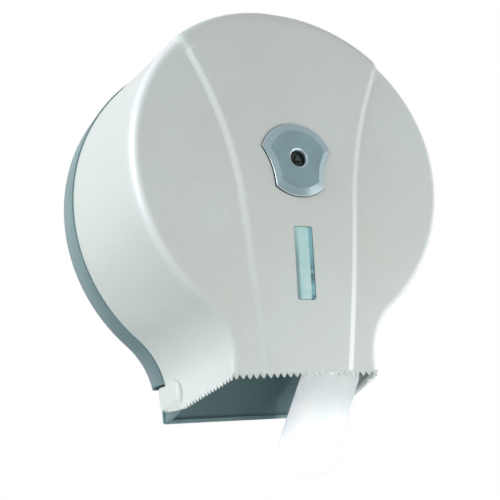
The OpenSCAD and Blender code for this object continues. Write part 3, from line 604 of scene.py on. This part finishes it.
def coverShell():
    rows = shellRows()
    points, faces, sides, crest, inside = [], [], [], [], []
    for off in (0, c["wall"]):
        base = len(points)
        for row in rows:
            half = halfRow(row, off)
            points += [(-p.x, p.y, p.z) for p in half] + [tuple(p) for p in half[-2::-1]]
            crest += paintedHighlightLine(row, 0) + paintedHighlightLine(row, 1)[-2::-1]
            wide = 2 * len(half) - 1
            least = paintedLight["paintedShadeLeast"]  # painted shade, darkest at the outlet
            paintedShadeHere = {"neck": 1.0, "flare": 1.0 - (1.0 - least) * row[1]}.get(row[0], least)
            inside += [paintedShadeHere if off else 0.0] * wide
        index = [[base + j * wide + k for k in range(wide)] for j in range(len(rows))]
        faces += [(index[j][k], index[j][k + 1], index[j + 1][k + 1], index[j + 1][k])
                  for j in range(len(rows) - 1) for k in range(wide - 1)]
        sides.append([[line[0] for line in index], [line[-1] for line in index], index[0]])
    for one, two in zip(*sides):
        faces += [(one[i], one[i + 1], two[i + 1], two[i]) for i in range(len(one) - 1)]
    return meshOf("coverShell", points, faces, crest=crest, inside=inside)


def arcThrough(a, b, rise, n):  # n points of an arc from a to b, which rises above its chord or dips below it
    a, b = Vector(a), Vector(b)
    chord = b - a
    half = chord.length / 2
    r = (half * half + rise * rise) / (2 * abs(rise))
    side = 1 if rise > 0 else -1
    centre = (a + b) / 2 + Vector((-chord.y, chord.x)).normalized() * (rise - side * r)
    sweep, start = 2 * math.asin(half / r), math.atan2(a.y - centre.y, a.x - centre.x)
    angles = [start - side * sweep * i / n for i in range(n)]
    return [centre + r * Vector((math.cos(a), math.sin(a))) for a in angles]


badgeShape = {
    "topHalf": 30, "lowHalf": 20.5, "topHeight": 20.5, "lowHeight": -11.3, "topArc": 20.5, "lowArc": 7.5,
    "hollow": 2.5, "bevel": 6.3, "proud": 3, "wall": 0.9, "pocket": 1, "pocketGap": 0.5, "seatGap": 0.05,
    "keyhole": 6.8, "bore": 10.3, "postAt": 14, "post": 3.2, "postHole": 3.3, "postLength": 2.9,
    "screwHole": 1.46, "behind": 12, "before": 4, "sharpest": 12,
}


def badgeOutline():
    g = badgeShape
    tl, tr = (-g["topHalf"], g["topHeight"]), (g["topHalf"], g["topHeight"])
    br, bl = (g["lowHalf"], g["lowHeight"]), (-g["lowHalf"], g["lowHeight"])
    return (arcThrough(tl, tr, g["topArc"], 36) + arcThrough(tr, br, -g["hollow"], 16)
            + arcThrough(br, bl, g["lowArc"], 22) + arcThrough(bl, tl, -g["hollow"], 16))


def grown(outline, by):  # moves a closed outline out along its normals
    n = len(outline)
    out = []
    for i, p in enumerate(outline):
        a, b = (p - outline[i - 1]).normalized(), (outline[(i + 1) % n] - p).normalized()
        na, nb = Vector((-a.y, a.x)), Vector((-b.y, b.x))
        way = (na + nb).normalized()
        out.append(p + way * by / max(0.5, way.dot(na)))
    return out


def prism(name, outline, d0, d1):  # a front-view outline pulled from depth d0 to depth d1
    points, faces = tube([[(p[0], -d, p[1]) for p in outline] for d in (d0, d1)])
    return meshOf(name, points, faces)


def disc(x, z, r, n=48):  # a circle seen from the front
    return [(x + r * math.cos(math.tau * i / n), z + r * math.sin(math.tau * i / n)) for i in range(n)]


windowShape = {
    "width": 16, "height": 57, "drop": 70.5, "corner": 1.3, "lowCorner": 2.4, "fit": 0.2, "cut": 12,
    # depths behind the face: of the back, the flange, the flat and the rounded edge, then the raised prism
    "back": -4.2, "flange": -3.2, "flat": -0.7, "edge": -0.45, "prism": 0.6, "flangeWidth": 3.2,
    "left": 1.9, "right": 3.4, "foot": 1.2, "head": 1.0,  # how far the prism stands in from each side
    "edgeWide": 0.985, "edgeHigh": 0.995,  # size at the rounded edge
}


def onWindow(x, up, out):  # a point on the sloping face, measured from the window's middle
    w = windowShape
    depth = faceAt(-w["drop"]) + c["panelRise"]
    lean = math.atan(2 * c["bulge"] * (w["drop"] + c["bulgeHeight"]) / c["bulgeReach"] ** 2)
    y = -depth - up * math.sin(lean) - out * math.cos(lean)
    return x, y, -w["drop"] + up * math.cos(lean) - out * math.sin(lean)


def roundedBox(w, h, top, low, n=6):  # corner radii at the top and at the bottom
    out = []
    for turn, r, sx, sz in ((0, top, 1, 1), (1, top, -1, 1), (2, low, -1, -1), (3, low, 1, -1)):
        for i in range(n + 1):
            a = math.pi / 2 * (turn + i / n)
            out.append((sx * (w / 2 - r) + r * math.cos(a), sz * (h / 2 - r) + r * math.sin(a)))
    return out


def badgeDepth():  # depth of the panel behind the lock plate
    return faceAt(axisHeight) + c["panelRise"]


def windowCutter():
    w = windowShape
    box = roundedBox(w["width"], w["height"], w["corner"], w["lowCorner"])
    points, faces = tube([[onWindow(x, z, out) for x, z in box] for out in (-w["cut"], w["cut"])])
    return meshOf("windowCutter", points, faces)


def cutCover(mesh):
    g = badgeShape
    work = loose("coverWork", mesh)
    depth = badgeDepth()
    back, front = depth - g["behind"], depth + g["before"]
    pocket = grown(badgeOutline(), g["pocketGap"])
    cutters = [windowCutter(), prism("pocket", pocket, depth - g["pocket"], depth + g["proud"]),
               prism("bore", disc(0, axisHeight, g["bore"]), back, front)]
    cutters += [prism("postHole", disc(x, axisHeight, g["postHole"], 24), back, front)
                for x in (-g["postAt"], g["postAt"])]
    tools = [loose(m.name, m) for m in cutters]
    for tool in tools:
        cut = work.modifiers.new("cut", "BOOLEAN")
        cut.operation, cut.solver, cut.object = "DIFFERENCE", "EXACT", tool
    result = baked(work)
    for tool in tools:
        bpy.data.objects.remove(tool)
    return result


lugShape = {
    "inner": 72, "outer": 79, "perKey": 9, "roundSteps": 9,
    # y and z of the body's outline, y and z of the flat outer face, and the x at which the rounding starts
    "keys": [
        (-9.5, -149, -11.5, -149.5, 77.5), (-9.5, -157, -11.5, -157, 77.5), (-11, -163.5, -13.5, -162, 77),
        (-17, -167.5, -19, -164.6, 76), (-27, -168.5, -27, -162.8, 74.5), (-37, -168.3, -34.5, -160.8, 73.5),
        (-46, -165.8, -40.5, -157.8, 73.5), (-51, -160, -44.3, -153.5, 73.8), (-51, -153, -45, -149.3, 74.5),
        (-48, -147, -44.3, -146.3, 75.5), (-40, -144, -39, -145.2, 76.5), (-30.5, -144, -30.5, -145.2, 77),
        (-27.6, -147, -27.4, -148.2, 77), (-12, -147.2, -13, -148.4, 77.5),
    ],
}


def between(p, q, r, u, t):  # from q at t = 0 to r at t = 1, smoothly on from p and towards u
    return (2 * q + (r - p) * t + (2 * p - 5 * q + 4 * r - u) * t * t + (3 * q - p - 3 * r + u) * t ** 3) / 2


def throughKeys(keys, each):  # a closed smooth line through all the keys, whatever they hold
    out, n = [], len(keys)
    for i in range(n):
        near = [keys[(i + k) % n] for k in (-1, 0, 1, 2)]
        out += [[between(*values, t) for values in zip(*near)] for t in steps(0, 1, each)]
    return out


def hingeLugs():
    g = lugShape
    line = throughKeys(g["keys"], g["perKey"])
    points, faces = [], []
    for side in (-1, 1):
        rings = [[(side * g["inner"], y, z) for y, z, _, _, _ in line]]
        for k in range(g["roundSteps"] + 1):
            a = math.pi / 2 * k / g["roundSteps"]
            rings.append([(side * (x + (g["outer"] - x) * math.sin(a)), y + (v - y) * (1 - math.cos(a)),
                           z + (w - z) * (1 - math.cos(a))) for y, z, v, w, x in line])
        grow(points, faces, rings)
    return meshOf("coverHingeLugs", points, faces)


def setOutTree(name):  # copies a seed object along a path at an even pitch
    tree = bpy.data.node_groups.new(name, "GeometryNodeTree")
    given = {"Geometry": "Geometry", "Seed": "Object", "Pitch": "Float", "Size spread": "Float",
             "Random seed": "Int", "Material": "Material"}
    for word, kind in given.items():
        tree.interface.new_socket(word, in_out="INPUT", socket_type="NodeSocket" + kind)
    tree.interface.new_socket("Geometry", in_out="OUTPUT", socket_type="NodeSocketGeometry")
    kinds = {"start": "NodeGroupInput", "end": "NodeGroupOutput", "curve": "GeometryNodeMeshToCurve",
             "even": "GeometryNodeResampleCurve", "seed": "GeometryNodeObjectInfo",
             "put": "GeometryNodeInstanceOnPoints", "vary": "FunctionNodeRandomValue",
             "least": "ShaderNodeMath", "most": "ShaderNodeMath", "real": "GeometryNodeRealizeInstances",
             "paint": "GeometryNodeSetMaterial"}
    nodes = {word: tree.nodes.new(kind) for word, kind in kinds.items()}
    nodes["even"].mode = "LENGTH"
    for word, how in (("least", "SUBTRACT"), ("most", "ADD")):  # sizes run from 1 - spread to 1 + spread
        nodes[word].operation = how
        nodes[word].inputs[0].default_value = 1.0
    for one, output, two, socket in (
            ("start", "Geometry", "curve", "Mesh"), ("curve", "Curve", "even", "Curve"),
            ("start", "Pitch", "even", "Length"), ("start", "Seed", "seed", "Object"),
            ("start", "Size spread", "least", 1), ("start", "Size spread", "most", 1),
            ("least", 0, "vary", 2), ("most", 0, "vary", 3), ("start", "Random seed", "vary", "Seed"),
            ("even", "Curve", "put", "Points"), ("seed", "Geometry", "put", "Instance"),
            ("vary", 1, "put", "Scale"), ("put", "Instances", "real", "Geometry"),
            ("real", "Geometry", "paint", "Geometry"), ("start", "Material", "paint", "Material"),
            ("paint", "Geometry", "end", "Geometry")):
        tree.links.new(nodes[one].outputs[output], nodes[two].inputs[socket])
    return tree


setOut = setOutTree("setOutAlongPath")


def alongPath(name, path, seedMesh, pitch, finish, spread=0.0, number=7):  # path in millimetres
    line = bpy.data.meshes.new(name)
    line.from_pydata([tuple(v * mm for v in p) for p in path], [(i, i + 1) for i in range(len(path) - 1)], [])
    work, seed = loose(name, line), loose(name + "Seed", seedMesh)
    mod = work.modifiers.new("setOut", "NODES")
    mod.node_group = setOut
    given = {"Seed": seed, "Pitch": pitch * mm, "Size spread": spread, "Random seed": number,
             "Material": finishes[finish]}
    for item in setOut.interface.items_tree:
        if item.item_type == "SOCKET" and item.in_out == "INPUT" and item.name in given:
            mod[item.identifier] = given[item.name]
    mesh = baked(work)
    bpy.data.objects.remove(seed)
    return mesh


def toothSeed(pitch, along, down, inward):  # one tear tooth about its root, with a thinner tip
    t = teethShape
    along, down, inward = (Vector(v).normalized() for v in (along, down, inward))
    half, end = pitch / 2, t["depth"] - t["flat"]
    outline = [(-half, -t["bite"]), (half, -t["bite"]), (half, 0)]
    outline += [(t["tip"], end), (-t["tip"], end), (-half, 0)]
    backs = [t["thick"] * (1 - t["taper"] * max(0, h) / t["depth"]) for _, h in outline]
    n = len(outline)
    points = [along * a + down * h + inward * back
              for (a, h), back in zip(outline * 2, [t["sink"]] * n + backs)]
    faces = [(0, 1, 2, 5), (5, 2, 3, 4), (6, 11, 8, 7), (11, 10, 9, 8)]
    faces += [(i, (i + 1) % n, n + (i + 1) % n, n + i) for i in range(n)]
    # the back faces of the tooth get a little painted shade
    return meshOf("toothSeed", points, faces, inside=[0.0] * n + [t["paintedBackShade"]] * n)


def tearTeeth():
    t = teethShape
    half = c["neckHalf"] - c["neckDraft"] * (edgeDepth - c["seamDepth"]) - t["inset"]
    root = -c["frontDrop"] + t["depth"]
    xs = steps(-half, half, t["pathSteps"]) + [half]
    front = [(x, -faceAt(root) - faceRise(x, root), root) for x in xs]
    seed = toothSeed(t["frontPitch"], (1, 0, 0), (0, -t["lean"], -1), (0, 1, 0))
    made = {"tearTeethFront": alongPath("tearTeethFront", front, seed, t["frontPitch"], "cover")}
    for side, word in ((-1, "Left"), (1, "Right")):
        ends = []
        for depth in (edgeDepth - t["endInsets"][0], t["backEnd"] + t["endInsets"][1]):
            s = depth - c["seamDepth"]
            ends.append(Vector((side * (c["neckHalf"] - c["neckDraft"] * s), -depth, bottomAt(s))))
        along = (ends[1] - ends[0]).normalized()
        inward = Vector((-side, 0, 0))
        inward = (inward - along * inward.dot(along)).normalized()
        down = along.cross(inward)
        down = down if down.z < 0 else -down
        name, seed = "tearTeeth" + word, toothSeed(t["sidePitch"], along, down, inward)
        made[name] = alongPath(name, ends, seed, t["sidePitch"], "cover")
    return made


shell = cutCover(coverShell())
keep("coverShell", shell, "cover", "cover", ["cover"], c["sharpest"])
keep("coverHingeLugs", hingeLugs(), "cover", "cover", (), c["sharpest"])
for name, mesh in tearTeeth().items():
    keep(name, mesh, "cover", "cover", (), teethShape["sharpest"])
print("cover made:", len(shell.polygons), "faces")


def badgePlate():
    g = badgeShape
    depth = badgeDepth()
    seat, wall, top = depth - g["pocket"] + g["seatGap"], depth + g["wall"], depth + g["proud"]
    outline, mid = badgeOutline(), (g["topHeight"] + g["topArc"] + g["lowHeight"] - g["lowArc"]) / 2
    slopeEnd, hole = 1 - g["bevel"] / g["topHalf"], g["keyhole"]
    skirt, rim, slope, face = (1, 0, 0), (0, 1, 1), (0, 0, 1), (0, 0, 0)  # marks: painted shade on the sides, painted highlight on the rim and painted light on the chamfer
    # share of the outline, depth and marks of each ring, from the seat up to the flat face
    outer = [(1, seat, skirt), (1, depth, skirt), (1, wall, skirt), (0.999, wall + 0.05, rim),
             (0.988, wall + 0.4, rim), (0.984, wall + 0.45, slope), (slopeEnd + 0.008, top - 0.12, slope),
             (slopeEnd - 0.004, top, face)]
    # radius, depth and marks of each ring, from the flat face down the keyhole to the seat
    # the keyhole's chamfer takes half the painted highlight, and its bore painted shade that darkens
    # downwards
    inner = [(hole + 1.4, top, face), (hole + 1.25, top - 0.05, (0, 0.5, 0)),
             (hole + 0.1, top - 0.8, (0, 0.5, 0)), (hole, top - 0.95, (0.1, 0, 0)),
             (hole, top - 3.4, (0.3, 0, 0)), (hole, seat, skirt)]
    rings = [[(p.x * k, -d, mid + (p.y - mid) * k) for p in outline] for k, d, _ in outer]
    turns = [math.atan2(z - axisHeight, x) for x, _, z in rings[-1]]
    rings += [[(r * math.cos(a), -d, axisHeight + r * math.sin(a)) for a in turns] for r, d, _ in inner]
    points, faces = tube(rings, closed=True)
    marks = [[float(ring[2][i]) for ring in outer + inner for _ in outline] for i in range(3)]
    foot, end = seat + 0.02, depth - g["postLength"]
    corners = ((g["post"], foot), (g["post"], end), (g["screwHole"], end), (g["screwHole"], foot))
    for side in (-g["postAt"], g["postAt"]):
        rings = [[(x, -d, z) for x, z in disc(side, axisHeight, r, 28)] for r, d in corners]
        grow(points, faces, rings, closed=True)
    marks = [values + [0.0] * (len(points) - len(values)) for values in marks]
    return meshOf("lockBadge", points, faces, skirt=marks[0], rim=marks[1], slope=marks[2])


def windowLens():
    w = windowShape
    wide, high = w["width"] - 2 * w["fit"], w["height"] - 2 * w["fit"]
    corners = (w["corner"] - w["fit"], w["lowCorner"] - w["fit"])
    box = roundedBox(wide, high, *corners)
    flange = roundedBox(wide + 2 * w["flangeWidth"], high + 2 * w["flangeWidth"], *corners)
    levels = [(flange, w["back"]), (flange, w["flange"]), (box, w["flange"]), (box, w["flat"])]
    levels.append(([(x * w["edgeWide"], z * w["edgeHigh"]) for x, z in box], w["edge"]))
    left, right = w["left"] - wide / 2, wide / 2 - w["right"]
    foot, head = w["foot"] - high / 2, high / 2 - w["head"]
    levels.append(([(min(max(x, left), right), min(max(z, foot), head)) for x, z in box], w["prism"]))
    points, faces = tube([[onWindow(x, z, out) for x, z in line] for line, out in levels])
    return meshOf("windowLens", points, faces)


crisp = badgeShape["sharpest"]
keep("lockBadge", badgePlate(), "badge", "cover", ["lock_escutcheon"], crisp)
keep("windowPrism", windowLens(), "lens", "cover", ["window_lens"], crisp)
print("lock plate and window made")


def roundedCopy(node, name, width, finish, body):  # a CAD solid with its edges broken
    work = loose(name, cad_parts[node].data.copy())
    mesh = bmesh.new()
    mesh.from_mesh(work.data)
    bmesh.ops.remove_doubles(mesh, verts=mesh.verts, dist=0.000005)
    bmesh.ops.dissolve_limit(mesh, angle_limit=math.radians(0.6), verts=mesh.verts, edges=mesh.edges)
    mesh.to_mesh(work.data)
    mesh.free()
    mod = work.modifiers.new("edges", "BEVEL")
    mod.width, mod.segments, mod.limit_method, mod.angle_limit = width * mm, 2, "ANGLE", math.radians(38)
    mod.use_clamp_overlap, mod.harden_normals = True, False
    return keep(name, baked(work), finish, body, [node], 36)


roundedCopy("back_plate", "backPlate", 0.5, "plate", "wall_unit")
roundedCopy("latch_striker", "latchKeeper", 0.3, "spring", "wall_unit")
roundedCopy("lock_cam", "lockCam", 0.25, "spring", "lock")
print("plate and lock parts made")


rollShape = {"radius": 114.5, "rear": 12.3, "middle": 56, "front": 100.7, "core": 32.1, "corner": 1.4,
             "layerSteps": 40, "turnSteps": 160, "unevenness": 0.35, "deepest": 0.3, "room": 0.4, "seed": 11,
             "waves": 9, "waveTurn": 2.3, "waveShift": 5}


def woundPaper():
    g = rollShape
    random.seed(g["seed"])
    waves = [random.uniform(-1, 1) for _ in range(g["waves"])]
    corner, radius, core = g["corner"], g["radius"], g["core"]
    rear, front = g["rear"] + g["room"], g["front"] - g["room"]

    def dip(r):  # the ends of the roll dip and rise a little from layer to layer
        t = (r - core) / (radius - core)
        turns = [(k + 1) * g["waveTurn"] * t + w * g["waveShift"] for k, w in enumerate(waves)]
        height = sum(w * math.sin(a) for w, a in zip(waves, turns)) / math.sqrt(g["waves"])
        return min(g["deepest"], max(-g["deepest"], g["unevenness"] * height))
    radii = steps(core, radius - corner, g["layerSteps"]) + [radius - corner]
    rearBend = [(corner * math.sin(a), rear + corner * (1 - math.cos(a))) for a in steps(0.3, math.pi / 2, 5)]
    frontBend = [(corner * math.cos(a), front - corner * (1 - math.sin(a))) for a in steps(0, 1.3, 5)]
    profile = [(r, rear + dip(r)) for r in radii] + [(radius - corner + r, d) for r, d in rearBend]
    profile += [(radius, d) for d in (g["rear"] + 3, g["middle"], g["front"] - 3)]
    profile += [(radius - corner + r, d) for r, d in frontBend]
    profile += [(r, front + dip(r)) for r in reversed(radii)]
    angles = steps(0, math.tau, g["turnSteps"])
    rings = [[(r * math.cos(a), -d, axisHeight + r * math.sin(a)) for a in angles] for r, d in profile]
    points, faces = tube(rings, closed=True)
    return meshOf("woundPaper", points, faces)


sheetShape = {
    "radius": 114.8, "angle": 26, "rear": 12.5, "front": 100.5, "drop": 230, "skew": 11.5, "cut": 6,
    "wrap": 30, "thick": 0.3, "slack": 1.02, "acrossSteps": 30, "wrapSteps": 12, "fallSteps": 90,
    "skewFade": (70, 86), "skewEase": (160, 70, 0.12), "skewPower": 2.2, "wave": 0.5, "waveFade": 60,
    "waveTurns": (9.5, 0.02), "curl": 0.9, "curlFrom": 26, "curlShare": (0.4, 3.0),
}


def hangingSheet():
    g = sheetShape
    lean = math.radians(g["angle"])
    leave = Vector((math.cos(-lean), math.sin(-lean))) * g["radius"]
    fall = Vector((-math.sin(lean), -math.cos(lean)))
    across, turns, runs = g["acrossSteps"], g["wrapSteps"], g["fallSteps"]
    (skewTop, skewSpan), (easeTop, easeSpan, ease) = g["skewFade"], g["skewEase"]
    (waveAcross, waveDown), (curlLeast, curlTurn) = g["waveTurns"], g["curlShare"]
    columns = []
    for i in range(across + 1):
        share = i / across
        y = -(g["rear"] + (g["front"] - g["rear"]) * share)
        endZ = -g["drop"] + g["cut"] * share
        reach = (leave.y + axisHeight - endZ) / math.cos(lean)
        line = []
        for j in range(turns):
            a = math.radians(g["wrap"] * (1 - j / turns)) - lean
            line.append(Vector((g["radius"] * math.cos(a), y, axisHeight + g["radius"] * math.sin(a))))
        for j in range(runs + 1):
            d = reach * j / runs
            p = leave + fall * d
            x, z = p.x, p.y + axisHeight
            turn = clamped((-z - skewTop) / skewSpan) ** g["skewPower"]
            turn *= 1 - ease * clamped((-z - easeTop) / easeSpan)
            ripple = g["wave"] * math.sin(share * waveAcross + d * waveDown) * min(1, d / g["waveFade"])
            curl = -g["curl"] * max(0, (d - reach + g["curlFrom"]) / g["curlFrom"]) ** 2
            curl *= curlLeast + (1 - curlLeast) * math.sin(share * curlTurn)
            line.append(Vector((x + g["skew"] * share * turn + ripple + curl, y, z)))
        columns.append(line)
    area = 0.0
    n = len(columns[0])
    for i in range(across):
        for j in range(n - 1):
            a, b, d, e = columns[i][j], columns[i][j + 1], columns[i + 1][j + 1], columns[i + 1][j]
            area += ((b - a).cross(e - a).length + (b - d).cross(e - d).length) / 2
    longest = max(sum((line[j + 1] - line[j]).length for j in range(n - 1)) for line in columns)
    points, faces = [], []
    for line in columns:
        for j, p in enumerate(line):
            ahead, behind = line[min(j + 1, n - 1)], line[max(j - 1, 0)]
            side = (ahead - behind).cross(Vector((0, -1, 0))).normalized() * g["thick"] / 2
            points += [tuple(p + side), tuple(p - side)]

    def spot(i, j, k):  # the point of column i and row j, on the front k = 0 or the back k = 1
        return 2 * (i * n + j) + k
    for i in range(across):
        for j in range(n - 1):
            faces.append(tuple(spot(*q, 0) for q in ((i, j), (i, j + 1), (i + 1, j + 1), (i + 1, j))))
            faces.append(tuple(spot(*q, 1) for q in ((i + 1, j), (i + 1, j + 1), (i, j + 1), (i, j))))
    rim = [(i, 0) for i in range(across)] + [(across, j) for j in range(n - 1)]
    rim += [(i, n - 1) for i in range(across, 0, -1)] + [(0, j) for j in range(n - 1, 0, -1)]
    for k, q in enumerate(rim):
        r = rim[(k + 1) % len(rim)]
        faces.append((spot(*q, 0), spot(*r, 0), spot(*r, 1), spot(*q, 1)))
    return meshOf("hangingSheet", points, faces), area * mm * mm, longest * mm


keep("woundPaper", woundPaper(), "roll", "roll", ["paper_roll"], 60)
sheetMesh, sheetArea, sheetLength = hangingSheet()
sheetPiece = keep("hangingSheet", sheetMesh, "sheet", "wall_unit", ["paper_tail"], 60)
sheetWide = (sheetShape["front"] - sheetShape["rear"]) * mm * sheetShape["slack"]
min(sheetArea, sheetWide * sheetLength)
print("paper made: sheet", round(sheetWide / mm), "by", round(sheetLength / mm), "mm")


carried = {  # the solids that keep their CAD mesh, and their finishes
    "plate": ["spindle_post", "hub_retainer"], "hub": ["roll_hub"], "cardboard": ["roll_core"],
    "lock": ["lock_housing", "lock_barrel"],
    "zinc": ["post_screws", "striker_screws", "lock_screws", "lock_cam_screw", "hinge_pin_left",
             "hinge_pin_right"],
}
for finish, nodes in carried.items():
    for node in nodes:
        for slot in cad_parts[node].material_slots:
            slot.material = finishes[finish]


floorShape = {"half": 9000, "drop": 1300, "thick": 20, "dark": (0.9, 0.9, 0.9), "pale": (0.93, 0.93, 0.93),
              "grainSize": 0.3, "grainShare": 0.3, "glow": 0.7}


def floorPaint():  # pale for the camera, and still dark enough for a shadow to show
    b, g = Bench("paleFloor"), floorShape
    tint = b.mix(b.noise(g["grainSize"], 2) * g["grainShare"], g["dark"], g["pale"])
    plain = b.add("ShaderNodeBsdfDiffuse", None, {"Color": tint})
    lit = b.add("ShaderNodeEmission", None, {"Color": (1, 1, 1, 1), "Strength": 1.0})
    ray = b.add("ShaderNodeLightPath", out="Is Camera Ray")
    return b.pick(ray * g["glow"], plain, lit, "ShaderNodeOutputMaterial")


def stage():
    g = floorShape
    size, low = g["half"], cadLow.z / mm - g["drop"]
    corners = ((-size, -size), (size, -size), (size, size), (-size, size))
    points, faces = tube([[(x, y, low + h) for x, y in corners] for h in (-g["thick"], 0)])
    mesh = meshOf("floor", points, faces)
    floor = loose("floor", mesh)
    mesh.materials.append(floorPaint())
    b = Bench("studio", "worlds")
    seen, gloss, through = (b.add("ShaderNodeLightPath", out="Is " + ray + " Ray")
                            for ray in ("Camera", "Glossy", "Transmission"))
    dim, white = (b.add("ShaderNodeBackground", None, {"Color": (1, 1, 1, 1), "Strength": strength})
                  for strength in (lights["sky"], 1.0))  # what lights the piece, and what shows behind it
    share = b.most(b.most(seen, gloss), through)
    bpy.context.scene.world = b.pick(share, dim, white, "ShaderNodeOutputWorld")


lights = {
    "sky": 0.3, "middle": (0, -0.08, -0.03), "sheet": (0.03, -0.056, -0.205),
    "cool": (0.935, 0.972, 1.0), "plain": (1.0, 1.0, 1.0),
    "lamps": [  # name, place, size, watts, colour, what it looks at, spread in degrees
        ("leftHighBox", (-1.3, -0.4, 0.6), 0.9, 10.2, "cool", "middle", 180),
        ("leftWallBox", (-1.4, -0.12, 0.1), 0.7, 9.2, "cool", "middle", 180),
        ("leftFrontBox", (-1.0, -1.2, -0.1), 0.9, 1.3, "cool", "middle", 180),
        ("rightBox", (1.4, -0.5, 0.0), 1.1, 2.2, "plain", "middle", 180),
        ("rightLowBox", (1.0, -0.8, -0.5), 0.8, 6.9, "plain", "middle", 180),
        ("frontLowBox", (0.3, -0.8, -0.8), 0.6, 4.0, "plain", "middle", 180),
        ("sheetBox", (-0.72, -0.075, -0.56), 0.12, 0.057, "plain", "sheet", 11),
    ],
}


def putLamps():
    for name, place, size, watts, tone, target, spread in lights["lamps"]:
        data = bpy.data.lights.new(name, "AREA")
        data.color = lights[tone]
        data.shape, data.size, data.energy, data.spread = "SQUARE", size, watts, math.radians(spread)
        turn = (Vector(lights[target]) - Vector(place)).to_track_quat("-Z", "Y").to_matrix()
        loose(name, data).matrix_world = Matrix.Translation(place) @ turn.to_4x4()


cameraAt = {"place": (-0.33978, -0.72957, -0.23315), "yaw": 0.4585, "pitch": 0.2521, "roll": -0.0856,
            "lens": 66.54, "sensor": 36, "near": 0.01, "far": 50}


def putCamera():
    g = cameraAt
    yaw, pitch, roll = g["yaw"], g["pitch"], g["roll"]
    ahead = Vector((math.sin(yaw) * math.cos(pitch), math.cos(yaw) * math.cos(pitch), math.sin(pitch)))
    right = Vector((math.cos(yaw), -math.sin(yaw), 0))
    up = right.cross(ahead)
    side = right * math.cos(roll) + up * math.sin(roll)
    top = up * math.cos(roll) - right * math.sin(roll)
    turn = Matrix((side, top, -ahead)).transposed()
    data = bpy.data.cameras.new("view")
    data.sensor_width, data.lens, data.clip_start, data.clip_end = g["sensor"], g["lens"], g["near"], g["far"]
    camera = loose("view", data)
    camera.matrix_world = Matrix.Translation(g["place"]) @ turn.to_4x4()
    bpy.context.scene.camera = camera


stage()
putLamps()
putCamera()
bpy.context.scene.view_settings.view_transform = "Standard"
print("stage, lamps and camera set")
